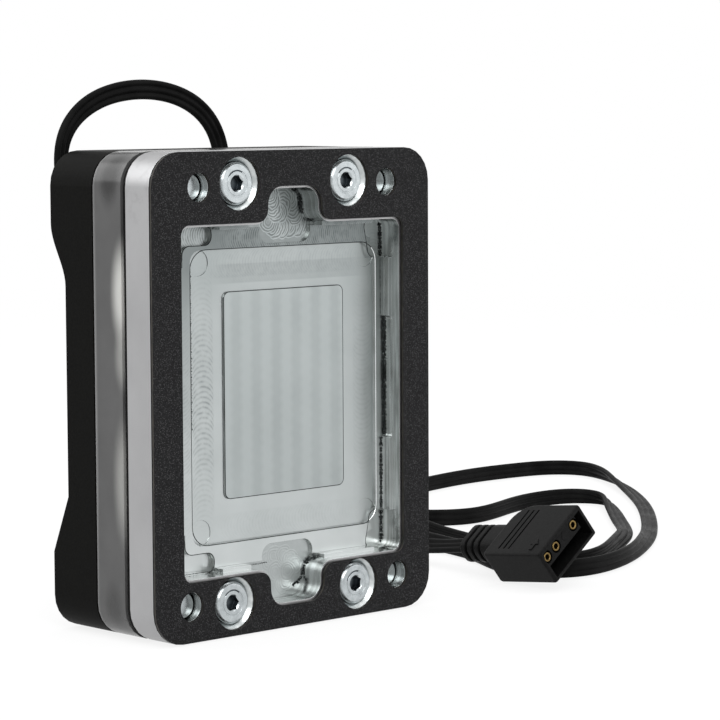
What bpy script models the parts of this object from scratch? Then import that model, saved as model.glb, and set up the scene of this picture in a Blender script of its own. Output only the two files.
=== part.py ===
# Liquid-cooling block for a processor, standing on its short side.
# Sizes are in millimetres and meshes are built in metres.
# Depth runs from the contact side to the hose side and becomes +Y. +Z is up.

import math

import bmesh
import bpy
from mathutils import Euler, Vector

MM = 0.001

# Block outline
BLOCK_WIDTH = 54.0
BLOCK_HEIGHT = 70.0
BLOCK_CORNER = 5.0
FIT_GAP = 0.3

# Thickness of each layer, front to back
FILM_THICKNESS = 0.4
FILM_BOND = 0.2
PLATE_THICKNESS = 5.2
GASKET_THICKNESS = 0.5
BODY_THICKNESS = 6.3
COVER_WAIST = 6.4
COVER_UPPER_HUMP = 9.7
COVER_LOWER_HUMP = 10.0

# Heights at which the cover's back changes
LOWER_HUMP_TOP = 11.4
WAIST_BOTTOM = 19.8
WAIST_TOP_INSET = 19.5
WAIST_TOP = BLOCK_HEIGHT - WAIST_TOP_INSET
UPPER_HUMP_BOTTOM_INSET = 10.5
UPPER_HUMP_BOTTOM = BLOCK_HEIGHT - UPPER_HUMP_BOTTOM_INSET
SWELL_STEPS = 12

# Milled window in the cold plate, depths from the film's front
WINDOW_WIDTH_INSET = 11.3
WINDOW_WIDTH = BLOCK_WIDTH - WINDOW_WIDTH_INSET
WINDOW_BOTTOM = 8.95
WINDOW_TOP_INSET = 10.7
WINDOW_TOP = BLOCK_HEIGHT - WINDOW_TOP_INSET
WINDOW_CORNER = 1.5
WINDOW_CHAMFER = 0.3
LIP_DEPTH = 2.2
LIP_WIDTH = 0.6
LEDGE_DEPTH = 4.1
RELIEF_BOTTOM_OFFSET = 17.05
RELIEF_BOTTOM = WINDOW_BOTTOM + RELIEF_BOTTOM_OFFSET
RELIEF_TOP_INSET = 14.8
RELIEF_TOP = WINDOW_TOP - RELIEF_TOP_INSET
NOTCH_WIDTH = 10.0
NOTCH_TOP_OFFSET = 5.15
NOTCH_TOP = WINDOW_TOP + NOTCH_TOP_OFFSET
NOTCH_BOTTOM_INSET = 5.35
NOTCH_BOTTOM = WINDOW_BOTTOM - NOTCH_BOTTOM_INSET
NOTCH_CORNER = 2.4
NOTCH_FOOT = 2.2
NOTCH_DEPTH = 4.6
NOTCH_FLOOR_REACH = 3.0

# Stepped floor, which lies a little to the right of the window
FLOOR_SHIFT = 1.5
FIELD_WIDTH_INSET = 6.2
FIELD_WIDTH = WINDOW_WIDTH - FIELD_WIDTH_INSET
FIELD_BOTTOM_OFFSET = 3.95
FIELD_BOTTOM = WINDOW_BOTTOM + FIELD_BOTTOM_OFFSET
FIELD_TOP_INSET = 3.5
FIELD_TOP = WINDOW_TOP - FIELD_TOP_INSET
FIELD_CORNER = 3.0
FIELD_DEPTH = 4.6
PLATEAU_WIDTH_INSET = 6.1
PLATEAU_WIDTH = FIELD_WIDTH - PLATEAU_WIDTH_INSET
PLATEAU_BOTTOM_OFFSET = 3.3
PLATEAU_BOTTOM = FIELD_BOTTOM + PLATEAU_BOTTOM_OFFSET
PLATEAU_TOP_INSET = 2.8
PLATEAU_TOP = FIELD_TOP - PLATEAU_TOP_INSET
PLATEAU_CORNER = 6.0
PLATEAU_RISE = 0.12
PAD_WIDTH_INSET = 7.0
PAD_WIDTH = PLATEAU_WIDTH - PAD_WIDTH_INSET
PAD_BOTTOM_OFFSET = 3.1
PAD_BOTTOM = PLATEAU_BOTTOM + PAD_BOTTOM_OFFSET
PAD_TOP_INSET = 3.5
PAD_TOP = PLATEAU_TOP - PAD_TOP_INSET
PAD_CORNER = 1.0
PAD_RISE = 0.25
MILL_MARK = 3.8
MILL_MARK_DEPTH = 4.7
EAR_DEPTH = 4.8
EAR_REACH = 8.7
EAR_THICK = 2.9
EAR_LEG = 3.2
EAR_DROP = 5.9
EAR_ROUND = 1.3
RIGHT_EAR_REACH = 3.9

# Fins behind the contact pad
FIN_COUNT = 24
FIN_THICKNESS = 0.35
FIN_PITCH = 0.95
FIN_LENGTH = PAD_TOP - PAD_BOTTOM
FIN_HEIGHT = 3.0

# Screws
TOP_HOLE_SPACING_INSET = 17.46
TOP_HOLE_SPACING = BLOCK_WIDTH - TOP_HOLE_SPACING_INSET
BOTTOM_HOLE_SPACING_INSET = 13.38
BOTTOM_HOLE_SPACING = BLOCK_WIDTH - BOTTOM_HOLE_SPACING_INSET
TOP_HOLE_HEIGHT_INSET = 5.09
TOP_HOLE_HEIGHT = BLOCK_HEIGHT - TOP_HOLE_HEIGHT_INSET
BOTTOM_HOLE_HEIGHT = 5.21
MOUNTING_SHANK = 3.6
MOUNTING_HEAD = 7.0
MOUNTING_HEAD_HEIGHT = 3.5
MOUNTING_SOCKET = 3.0
COUNTERBORE_GAP = 0.75
MOUNTING_SEAT = 18.8
MOUNTING_END_DEPTHS = {"top_left": 1.8, "top_right": 2.5, "bottom_left": 2.0, "bottom_right": 2.5}
TOP_SCREW_SPACING_INSET = 15.2
TOP_SCREW_SPACING = TOP_HOLE_SPACING - TOP_SCREW_SPACING_INSET
BOTTOM_SCREW_SPACING_INSET = 16.28
BOTTOM_SCREW_SPACING = BOTTOM_HOLE_SPACING - BOTTOM_SCREW_SPACING_INSET
TOP_SCREW_HEIGHT_INSET = 4.71
TOP_SCREW_HEIGHT = BLOCK_HEIGHT - TOP_SCREW_HEIGHT_INSET
BOTTOM_SCREW_HEIGHT = 4.74
SCREW_HEAD = 6.2
SCREW_HEAD_HEIGHT = 2.0
SCREW_SHANK = 3.0
SCREW_SOCKET = 2.1
SCREW_SOCKET_DEPTH = 1.1
SCREW_RECESS = 7.7
SCREW_RECESS_DEPTH = 2.9
SCREW_END_DEPTH = 21.0
SOCKET_TAPER = 0.3

# Coolant path
PATH_HEIGHT = BLOCK_HEIGHT / 2
CHAMBER_WIDTH_INSET = 2.9
CHAMBER_WIDTH = WINDOW_WIDTH - CHAMBER_WIDTH_INSET
CHAMBER_HEIGHT_OFFSET = 9.8
CHAMBER_HEIGHT = FIN_LENGTH + CHAMBER_HEIGHT_OFFSET
CHAMBER_CORNER = 3.0
CHAMBER_DEPTH = 3.0
PORT_SPACING_INSET = 11.8
PORT_SPACING = CHAMBER_WIDTH - PORT_SPACING_INSET
PORT_THREAD = 11.8
PORT_THREAD_DEPTH = 5.0
PORT_CHAMFER = 1.2
PORT_BORE = 8.0
JET_THICKNESS = 0.5
JET_SIDE_GAP = 6.5
JET_HEIGHT_INSET = 0.2
JET_HEIGHT = FIN_LENGTH - JET_HEIGHT_INSET
JET_CORNER = 1.5
JET_SLOT_LENGTH_INSET = 3.4
JET_SLOT_LENGTH = PAD_WIDTH - JET_SLOT_LENGTH_INSET
JET_SLOT_WIDTH = 1.5
INLET_WIDTH = 6.0
INLET_DEPTH = 2.0
SEAL_RADIUS = 6.5
SEAL_SECTION = 0.9
SEAL_CLEARANCE = 0.25
SEAL_SIDES = 40
SEAL_SECTION_SIDES = 10
SEAL_WELD = 0.01

# Light boards
BOARD_WIDTH = 3.7
BOARD_HEIGHT_OFFSET = 2.0
BOARD_HEIGHT = CHAMBER_HEIGHT + BOARD_HEIGHT_OFFSET
BOARD_THICKNESS = 0.8
BOARD_SIDE_INSET = 3.15
BOARD_CENTRE = BLOCK_WIDTH / 2 - BOARD_SIDE_INSET
LED_WIDTH = 2.0
LED_HEIGHT = 2.8
LED_THICKNESS = 1.4
UPPER_LED_OFFSET = 15.0
LOWER_LED_OFFSET = 12.5
LED_HEIGHTS = {"upper": PATH_HEIGHT + UPPER_LED_OFFSET, "lower": PATH_HEIGHT - LOWER_LED_OFFSET}

# Lead and its connector
LEAD_DIAMETER = 3.0
LEAD_EXIT_X = -15.5
LEAD_EXIT_Z_INSET = 3.5
LEAD_EXIT_Z = WAIST_TOP - LEAD_EXIT_Z_INSET
LEAD_ENTRY = 1.5
LEAD_POINT_COUNT = 80
LEAD_FINE_STEP = 0.8
LEAD_EASE_PASSES = 14
LEAD_BEND_WEIGHT = 8.0
HOUSING_WIDTH = 12.0
HOUSING_THICKNESS = 6.1
HOUSING_LENGTH = 13.1
HOUSING_CORNER = 0.4
HOUSING_FAR_SHOULDER = 3.6
HOUSING_NEAR_SHOULDER = 0.8
HOUSING_WALL = 0.7
HOUSING_CENTRE = (51.9, -11.4, 6.45)
HOUSING_TURN = (-7.7, -35.7, 2.6)
MOUTH_DEPTH = 6.0
TONGUE_WIDTH = 9.9
TONGUE_THICKNESS = 2.6
TONGUE_SETBACK = 0.4
GROOVE_WIDTH = 0.35
GROOVE_DEPTH = 0.25
GROOVE_PITCH = 1.15
GROOVE_COUNT = 3
GROOVE_START = 2.9
CONTACT_PITCH = 2.54
CONTACT_ROW_SHIFT = -0.67
CONTACT_DROP = 1.85
CONTACT_OUTER = 1.5
CONTACT_BORE = 0.9
CONTACT_LENGTH = 5.0
CONTACT_POSITIONS = (1, 2, 4)
CONTACT_ROW_MIDDLE = 2.5
RELIEF_WIDTH = 6.4
RELIEF_THICKNESS = 4.4
RELIEF_LENGTH = 8.3
RELIEF_PLAIN = 3.6
RELIEF_RIB_COUNT = 3
RELIEF_RIB_SHARE = 0.6
RELIEF_RIB_SLOPE = 0.1
RELIEF_WAIST = 0.5
RELIEF_ROUND = 0.8

# Places on the lead's way, as X, Y and Z, from the cover to the connector
LEAD_WAY = [
    (-15.5, 10.6, 47.1),
    (-15.6, 13.8, 48.5),
    (-16.4, 15.9, 52.0),
    (-18.2, 16.0, 56.6),
    (-20.2, 15.9, 61.0),
    (-21.5, 15.8, 65.4),
    (-22.0, 15.8, 69.6),
    (-20.9, 15.8, 73.1),
    (-18.1, 15.8, 75.8),
    (-13.9, 15.8, 77.9),
    (-5.4, 15.8, 79.0),
    (2.2, 15.8, 77.6),
    (6.4, 15.8, 75.1),
    (8.8, 15.8, 71.9),
    (9.6, 15.9, 68.4),
    (9.9, 16.2, 60.0),
    (10.8, 17.2, 45.0),
    (13.4, 20.0, 30.0),
    (18.6, 25.0, 15.5),
    (28.0, 32.0, 5.5),
    (42.0, 41.0, 1.6),
    (59.0, 51.0, 1.5),
    (72.0, 54.5, 1.5),
    (80.0, 50.0, 1.5),
    (84.0, 44.4, 1.5),
    (90.0, 41.6, 1.5),
    (98.0, 43.4, 1.5),
    (107.3, 47.0, 1.5),
    (117.0, 48.6, 1.5),
    (123.8, 47.1, 1.5),
    (126.0, 41.9, 1.5),
    (121.6, 36.2, 1.5),
    (110.2, 23.8, 1.5),
    (97.1, 10.5, 1.5),
    (79.9, -1.3, 1.5),
    (73.0, -5.2, 1.5),
    (66.6, -6.6, 1.5),
    (61.4, -3.6, 1.5),
    (61.0, 2.4, 1.5),
    (63.8, 8.5, 1.5),
    (67.6, 18.0, 1.5),
    (71.2, 32.5, 1.8),
    (72.6, 43.0, 3.4),
    (74.6, 54.0, 4.9),
    (81.0, 63.5, 3.4),
    (93.0, 71.5, 1.8),
    (105.0, 75.8, 1.5),
    (116.4, 79.0, 1.5),
    (130.3, 81.5, 1.5),
    (142.9, 81.2, 1.5),
    (151.2, 79.4, 1.5),
    (154.9, 74.5, 1.5),
    (152.9, 67.2, 1.5),
    (143.3, 51.9, 1.5),
    (128.5, 34.1, 1.5),
    (111.3, 17.3, 1.5),
    (95.7, 4.2, 1.5),
    (79.8, -6.6, 1.5),
    (68.6, -11.2, 1.5),
    (61.4, -11.9, 1.5),
    (56.0, -9.0, 1.5),
    (54.6, -2.4, 1.5),
    (57.2, 5.0, 1.5),
    (61.2, 13.0, 1.5),
    (63.8, 24.2, 1.5),
    (66.0, 34.0, 1.5),
    (64.6, 41.6, 1.5),
    (58.2, 45.4, 1.5),
    (51.4, 42.2, 1.5),
    (50.4, 35.4, 1.6),
    (52.4, 27.0, 2.2),
    (53.8, 18.0, 3.0),
    (53.2, 11.6, 3.7),
]

PLATE_FRONT = FILM_THICKNESS + FILM_BOND
PLATE_BACK = PLATE_FRONT + PLATE_THICKNESS
GASKET_FRONT = PLATE_BACK + FIT_GAP
GASKET_BACK = GASKET_FRONT + GASKET_THICKNESS
BODY_FRONT = GASKET_BACK + FIT_GAP
BODY_BACK = BODY_FRONT + BODY_THICKNESS
COVER_FRONT = BODY_BACK + FIT_GAP
WAIST_BACK = COVER_FRONT + COVER_WAIST
UPPER_BACK = COVER_FRONT + COVER_UPPER_HUMP
LOWER_BACK = COVER_FRONT + COVER_LOWER_HUMP
BLOCK_DEPTH = max(UPPER_BACK, LOWER_BACK)
CHAMBER_BACK = BODY_FRONT + CHAMBER_DEPTH
MOUNTING_HOLE = MOUNTING_SHANK + 2 * FIT_GAP
SCREW_HOLE = SCREW_SHANK + 2 * FIT_GAP
LEAD_HOLE = LEAD_DIAMETER + 2 * FIT_GAP
SEAL_SEAT = COVER_FRONT - SEAL_SECTION - 2 * SEAL_CLEARANCE

CORNER_STEPS = 6
HOLE_SIDES = 24
SMALL_SIDES = 20
OVERCUT = 1.0
SHARP_ANGLE = math.radians(35)


def remove_all():
    """Empty the scene, so that only this model is in it."""
    for obj in list(bpy.data.objects):
        bpy.data.objects.remove(obj, do_unlink=True)


def material(name, colour, roughness, metallic=0.0, alpha=1.0):
    """Return one Principled material."""
    made = bpy.data.materials.new(name)
    made.use_nodes = True
    shader = made.node_tree.nodes["Principled BSDF"]
    shader.inputs["Base Color"].default_value = (*colour, 1.0)
    shader.inputs["Roughness"].default_value = roughness
    shader.inputs["Metallic"].default_value = metallic
    shader.inputs["Alpha"].default_value = alpha
    made.diffuse_color = (*colour, alpha)
    return made


def depth_to_y(depth):
    """Turn a depth from the film's front into a Y coordinate in millimetres."""
    return depth - BLOCK_DEPTH / 2


def add_object(name, bm, finish=None):
    """Turn a bmesh in millimetres into a linked object in metres."""
    bmesh.ops.scale(bm, vec=(MM, MM, MM), verts=bm.verts)
    bmesh.ops.recalc_face_normals(bm, faces=bm.faces)
    mesh = bpy.data.meshes.new(name)
    bm.to_mesh(mesh)
    bm.free()
    mesh.shade_smooth()
    mesh.set_sharp_from_angle(angle=SHARP_ANGLE)
    obj = bpy.data.objects.new(name, mesh)
    bpy.context.scene.collection.objects.link(obj)
    if finish:
        mesh.materials.append(finish)
    return obj


def as_cutter(obj):
    """Mark an object as a tool that only shapes another."""
    obj.hide_render = True
    obj.display_type = "WIRE"
    return obj


def combine(target, tool, operation="DIFFERENCE"):
    """Add one exact Boolean to the target."""
    modifier = target.modifiers.new(tool.name, "BOOLEAN")
    modifier.operation = operation
    modifier.solver = "EXACT"
    modifier.object = as_cutter(tool)
    return target


def arc(centre, radius, start, end, steps=CORNER_STEPS):
    """Return points along an arc, angles in degrees."""
    points = []
    for step in range(steps + 1):
        angle = math.radians(start + (end - start) * step / steps)
        points.append((centre[0] + radius * math.cos(angle), centre[1] + radius * math.sin(angle)))
    return points


def rounded(left, right, bottom, top, radius, steps=CORNER_STEPS):
    """Return a rectangle's outline with four round corners."""
    radius = min(radius, (right - left) / 2.01, (top - bottom) / 2.01)
    return (
        arc((right - radius, bottom + radius), radius, -90, 0, steps)
        + arc((right - radius, top - radius), radius, 0, 90, steps)
        + arc((left + radius, top - radius), radius, 90, 180, steps)
        + arc((left + radius, bottom + radius), radius, 180, 270, steps)
    )


def centred(centre, width, bottom, top, radius):
    """Return a rounded outline that is centred on an X value."""
    return rounded(centre - width / 2, centre + width / 2, bottom, top, radius)


def circle(x, z, diameter, sides=HOLE_SIDES, start=0.0):
    """Return a closed round outline."""
    points = arc((x, z), diameter / 2, start, start + 360, sides)
    return points[:-1]


def hexagon(x, z, across_flats):
    """Return a hexagon with corners to the left and right."""
    return circle(x, z, across_flats / math.cos(math.radians(30)), 6)


def offset_block(inset):
    """Return the block's outline, moved inwards."""
    half = BLOCK_WIDTH / 2 - inset
    return rounded(-half, half, inset, BLOCK_HEIGHT - inset, BLOCK_CORNER - inset)


def prism(name, outline, front, back, finish=None, back_outline=None):
    """Extrude an X-Z outline between two depths, to a second outline where one is given."""
    bm = bmesh.new()
    near = [bm.verts.new((x, depth_to_y(front), z)) for x, z in outline]
    far = [bm.verts.new((x, depth_to_y(back), z)) for x, z in back_outline or outline]
    bm.faces.new(near)
    bm.faces.new(far[::-1])
    for index in range(len(near)):
        following = (index + 1) % len(near)
        bm.faces.new((near[index], far[index], far[following], near[following]))
    return add_object(name, bm, finish)


def revolve(name, x, z, profile, sides, finish=None):
    """Turn a profile of radius and depth about an axis along Y."""
    bm = bmesh.new()
    rings = []
    for radius, depth in profile:
        if radius == 0:
            rings.append([bm.verts.new((x, depth_to_y(depth), z))])
        else:
            points = circle(x, z, 2 * radius, sides)
            rings.append([bm.verts.new((px, depth_to_y(depth), pz)) for px, pz in points])
    for first, second in zip(rings, rings[1:]):
        for index in range(sides):
            following = (index + 1) % sides
            corners = [
                first[index % len(first)],
                first[following % len(first)],
                second[following % len(second)],
                second[index % len(second)],
            ]
            bm.faces.new(list(dict.fromkeys(corners)))
    return add_object(name, bm, finish)


def mounting_places():
    """Return the four corner holes by name."""
    top = TOP_HOLE_SPACING / 2
    bottom = BOTTOM_HOLE_SPACING / 2
    return {
        "top_left": (-top, TOP_HOLE_HEIGHT),
        "top_right": (top, TOP_HOLE_HEIGHT),
        "bottom_left": (-bottom, BOTTOM_HOLE_HEIGHT),
        "bottom_right": (bottom, BOTTOM_HOLE_HEIGHT),
    }


def assembly_places():
    """Return the four assembly screws by name."""
    top = TOP_SCREW_SPACING / 2
    bottom = BOTTOM_SCREW_SPACING / 2
    return {
        "top_left": (-top, TOP_SCREW_HEIGHT),
        "top_right": (top, TOP_SCREW_HEIGHT),
        "bottom_left": (-bottom, BOTTOM_SCREW_HEIGHT),
        "bottom_right": (bottom, BOTTOM_SCREW_HEIGHT),
    }


def drill_layer(target, front, back, screw_hole=SCREW_HOLE):
    """Bore all eight screw holes through one layer."""
    for place, (x, z) in mounting_places().items():
        name = f"cut_{target.name}_mounting_{place}"
        combine(target, prism(name, circle(x, z, MOUNTING_HOLE), front - OVERCUT, back + OVERCUT))
    for place, (x, z) in assembly_places().items():
        name = f"cut_{target.name}_assembly_{place}"
        combine(target, prism(name, circle(x, z, screw_hole), front - OVERCUT, back + OVERCUT))


def notch_outline(edge, end, foot_edge, grow=0.0):
    """Return a notch that leaves the window's edge through round feet and ends in round corners."""
    up = 1 if end > edge else -1
    half = NOTCH_WIDTH / 2 + grow
    end = end + up * grow
    corner = NOTCH_CORNER + grow
    foot = NOTCH_FOOT - grow
    edge = edge + up * grow
    right = [(half + foot, foot_edge)]
    right += [(half + foot + foot * math.cos(a), edge + up * (foot + foot * math.sin(a)))
              for a in (math.radians(-90 - 90 * step / CORNER_STEPS) for step in range(CORNER_STEPS + 1))]
    right += [(half - corner + corner * math.cos(a), end - up * (corner - corner * math.sin(a)))
              for a in (math.radians(90 * step / CORNER_STEPS) for step in range(CORNER_STEPS + 1))]
    left = [(-x, z) for x, z in reversed(right)]
    return right + left


def make_film(finish):
    """Thin insulating sheet with a cut-out that follows the window."""
    film = prism("insulating_sheet", offset_block(0), 0, FILM_THICKNESS, finish)
    half = WINDOW_WIDTH / 2 + WINDOW_CHAMFER
    bottom = WINDOW_BOTTOM - WINDOW_CHAMFER
    top = WINDOW_TOP + WINDOW_CHAMFER
    outline = rounded(-half, half, bottom, top, WINDOW_CORNER)
    combine(film, prism("cut_film_window", outline, -OVERCUT, FILM_THICKNESS + OVERCUT))
    for name, edge, end in (("top", WINDOW_TOP, NOTCH_TOP), ("bottom", WINDOW_BOTTOM, NOTCH_BOTTOM)):
        foot_edge = edge - math.copysign(OVERCUT, end - edge)
        outline = notch_outline(edge, end, foot_edge, WINDOW_CHAMFER)
        combine(film, prism(f"cut_film_notch_{name}", outline, -OVERCUT, FILM_THICKNESS + OVERCUT))
    drill_layer(film, 0, FILM_THICKNESS, SCREW_RECESS)
    return film


def ear_outline(side, up):
    """Return one corner relief of the window: an arm along the end wall and a leg down the side wall."""
    reach = EAR_REACH if side < 0 else RIGHT_EAR_REACH
    wall = WINDOW_WIDTH / 2
    inner = wall - reach
    end = WINDOW_TOP
    low = end - EAR_THICK
    leg = wall - EAR_LEG
    foot = end - EAR_DROP
    corner = arc((wall - WINDOW_CORNER, end - WINDOW_CORNER), WINDOW_CORNER, 0, 90)
    points = [(wall, foot)] + corner + [(inner, end)]
    points += arc((inner + EAR_ROUND, low + EAR_ROUND), EAR_ROUND, 180, 270)
    if leg - inner > 2 * EAR_ROUND:
        points += arc((leg - EAR_ROUND, low - EAR_ROUND), EAR_ROUND, 90, 0)
    points += [(leg, foot)]
    if up < 0:
        points = [(x, WINDOW_TOP + WINDOW_BOTTOM - z) for x, z in points]
    return [(side * x, z) for x, z in points]


def make_window(plate):
    """Mill the stepped window into the cold plate."""
    start = PLATE_FRONT - OVERCUT
    half = WINDOW_WIDTH / 2
    well = half - LIP_WIDTH
    ear_start = LIP_DEPTH - LIP_WIDTH
    floor_start = LIP_DEPTH + LIP_WIDTH
    window = rounded(-half, half, WINDOW_BOTTOM, WINDOW_TOP, WINDOW_CORNER)
    combine(plate, prism("cut_window", window, start, LIP_DEPTH))
    outline = rounded(-well, well, WINDOW_BOTTOM + LIP_WIDTH, WINDOW_TOP - LIP_WIDTH, WINDOW_CORNER)
    combine(plate, prism("cut_well", outline, start, LEDGE_DEPTH))
    outline = rounded(-half, half, RELIEF_BOTTOM, RELIEF_TOP, LIP_WIDTH)
    combine(plate, prism("cut_side_relief", outline, start, LEDGE_DEPTH))
    for name, edge, end in (("top", WINDOW_TOP, NOTCH_TOP), ("bottom", WINDOW_BOTTOM, NOTCH_BOTTOM)):
        inward = math.copysign(1, edge - end)
        outline = notch_outline(edge, end, edge + inward * LIP_WIDTH)
        combine(plate, prism(f"cut_notch_{name}", outline, start, NOTCH_DEPTH))
        inner = edge + inward * NOTCH_FLOOR_REACH
        low, high = sorted((inner, edge - inward * LIP_WIDTH))
        outline = centred(FLOOR_SHIFT, NOTCH_WIDTH, low, high, NOTCH_CORNER)
        combine(plate, prism(f"cut_notch_floor_{name}", outline, floor_start, NOTCH_DEPTH))
    for side_name, side in (("left", -1), ("right", 1)):
        for end_name, up in (("top", 1), ("bottom", -1)):
            name = f"cut_ear_{end_name}_{side_name}"
            combine(plate, prism(name, ear_outline(side, up), ear_start, EAR_DEPTH))


def make_field(plate):
    """Mill the round-cornered field that leaves the plateau and the contact pad standing."""
    outline = centred(FLOOR_SHIFT, FIELD_WIDTH, FIELD_BOTTOM, FIELD_TOP, FIELD_CORNER)
    field = prism("cut_field", outline, LEDGE_DEPTH - LIP_WIDTH, FIELD_DEPTH)
    outline = centred(FLOOR_SHIFT, PLATEAU_WIDTH, PLATEAU_BOTTOM, PLATEAU_TOP, PLATEAU_CORNER)
    combine(field, prism("keep_plateau", outline, FIELD_DEPTH - PLATEAU_RISE, FIELD_DEPTH + OVERCUT))
    outline = centred(FLOOR_SHIFT, PAD_WIDTH, PAD_BOTTOM, PAD_TOP, PAD_CORNER)
    combine(field, prism("keep_pad", outline, FIELD_DEPTH - PAD_RISE, FIELD_DEPTH + OVERCUT))
    combine(plate, field)
    for side_name, side in (("left", -1), ("right", 1)):
        for end_name, end, inward in (("top", FIELD_TOP, -1), ("bottom", FIELD_BOTTOM, 1)):
            x = FLOOR_SHIFT + side * (FIELD_WIDTH - MILL_MARK) / 2
            z = end + inward * MILL_MARK / 2
            outline = circle(x, z, MILL_MARK, SMALL_SIDES)
            name = f"cut_mill_mark_{end_name}_{side_name}"
            combine(plate, prism(name, outline, LEDGE_DEPTH, MILL_MARK_DEPTH))


def make_fins(plate):
    """Stand the comb of cooling fins on the cold plate's back."""
    first = FLOOR_SHIFT - (FIN_COUNT - 1) * FIN_PITCH / 2
    root = PLATE_BACK - FIN_THICKNESS
    tip = PLATE_BACK + FIN_HEIGHT
    profile = [(first - FIN_THICKNESS / 2, root)]
    for index in range(FIN_COUNT):
        left = first + index * FIN_PITCH - FIN_THICKNESS / 2
        right = left + FIN_THICKNESS
        if index:
            profile.append((left, PLATE_BACK))
        profile += [(left, tip), (right, tip)]
        if index < FIN_COUNT - 1:
            profile.append((right, PLATE_BACK))
    profile.append((first + (FIN_COUNT - 1) * FIN_PITCH + FIN_THICKNESS / 2, root))
    low = PATH_HEIGHT - FIN_LENGTH / 2
    bm = bmesh.new()
    base = bm.faces.new([bm.verts.new((x, depth_to_y(depth), low)) for x, depth in profile])
    raised = bmesh.ops.extrude_face_region(bm, geom=[base])["geom"]
    moved = [item for item in raised if isinstance(item, bmesh.types.BMVert)]
    bmesh.ops.translate(bm, vec=(0, 0, FIN_LENGTH), verts=moved)
    combine(plate, add_object("add_fins", bm), "UNION")


def make_cold_plate(finish):
    """Nickel-plated plate with the milled window in front and fins behind."""
    plate = prism("cold_plate", offset_block(0), PLATE_FRONT, PLATE_BACK, finish)
    make_window(plate)
    make_field(plate)
    drill_layer(plate, PLATE_FRONT, PLATE_BACK)
    for place, (x, z) in assembly_places().items():
        recess = circle(x, z, SCREW_RECESS)
        name = f"cut_recess_{place}"
        combine(plate, prism(name, recess, PLATE_FRONT - OVERCUT, SCREW_RECESS_DEPTH))
    make_fins(plate)
    return plate


def make_gasket(finish):
    """Flat seal between the cold plate and the clear body."""
    gasket = prism("main_gasket", offset_block(FIT_GAP), GASKET_FRONT, GASKET_BACK, finish)
    half = CHAMBER_WIDTH / 2 + FIT_GAP
    rise = CHAMBER_HEIGHT / 2 + FIT_GAP
    outline = rounded(-half, half, PATH_HEIGHT - rise, PATH_HEIGHT + rise, CHAMBER_CORNER)
    combine(gasket, prism("cut_gasket_opening", outline, GASKET_FRONT - OVERCUT, GASKET_BACK + OVERCUT))
    drill_layer(gasket, GASKET_FRONT, GASKET_BACK)
    return gasket


def make_jet_plate(finish):
    """Thin plate that leads the coolant onto the middle of the fins."""
    back = CHAMBER_BACK - FIT_GAP
    low = PATH_HEIGHT - JET_HEIGHT / 2
    left = FIT_GAP - CHAMBER_WIDTH / 2
    outline = rounded(left, CHAMBER_WIDTH / 2 - JET_SIDE_GAP, low, low + JET_HEIGHT, JET_CORNER)
    jet = prism("jet_plate", outline, back - JET_THICKNESS, back, finish)
    half = JET_SLOT_WIDTH / 2
    slot = centred(FLOOR_SHIFT, JET_SLOT_LENGTH, PATH_HEIGHT - half, PATH_HEIGHT + half, half)
    combine(jet, prism("cut_jet_slot", slot, back - JET_THICKNESS - OVERCUT, back + OVERCUT))
    return jet


def make_body(finish):
    """Clear body with the coolant chamber in front, and seal grooves and light pockets behind."""
    body = prism("acrylic_body", offset_block(0), BODY_FRONT, BODY_BACK, finish)
    half = CHAMBER_WIDTH / 2
    rise = CHAMBER_HEIGHT / 2
    outline = rounded(-half, half, PATH_HEIGHT - rise, PATH_HEIGHT + rise, CHAMBER_CORNER)
    combine(body, prism("cut_chamber", outline, BODY_FRONT - OVERCUT, CHAMBER_BACK))
    port = PORT_SPACING / 2
    left = -port - PORT_BORE / 2
    right = FLOOR_SHIFT + JET_SLOT_LENGTH / 2
    inlet = rounded(left, right, PATH_HEIGHT - INLET_WIDTH / 2, PATH_HEIGHT + INLET_WIDTH / 2, INLET_WIDTH / 2)
    combine(body, prism("cut_inlet", inlet, CHAMBER_BACK - OVERCUT, CHAMBER_BACK + INLET_DEPTH))
    for name, x in (("left", -port), ("right", port)):
        outline = circle(x, PATH_HEIGHT, PORT_BORE)
        combine(body, prism(f"cut_body_bore_{name}", outline, CHAMBER_BACK - OVERCUT, BODY_BACK + OVERCUT))
        reach = SEAL_SECTION / 2 + SEAL_CLEARANCE
        inner = circle(x, PATH_HEIGHT, 2 * (SEAL_RADIUS - reach))
        outer = circle(x, PATH_HEIGHT, 2 * (SEAL_RADIUS + reach))
        groove = prism(f"cut_seal_groove_{name}", outer, SEAL_SEAT, BODY_BACK + OVERCUT)
        keep = prism(f"keep_seal_island_{name}", inner, SEAL_SEAT - OVERCUT, BODY_BACK + 2 * OVERCUT)
        combine(body, combine(groove, keep))
    pocket_front = BODY_BACK - FIT_GAP - BOARD_THICKNESS - LED_THICKNESS - 2 * FIT_GAP
    wide = BOARD_WIDTH + 2 * FIT_GAP
    low = PATH_HEIGHT - BOARD_HEIGHT / 2 - FIT_GAP
    high = PATH_HEIGHT + BOARD_HEIGHT / 2 + FIT_GAP
    for name, side in (("left", -1), ("right", 1)):
        outline = centred(side * BOARD_CENTRE, wide, low, high, 2 * FIT_GAP)
        combine(body, prism(f"cut_light_pocket_{name}", outline, pocket_front, BODY_BACK + OVERCUT))
    drill_layer(body, BODY_FRONT, BODY_BACK)
    return body


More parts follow.
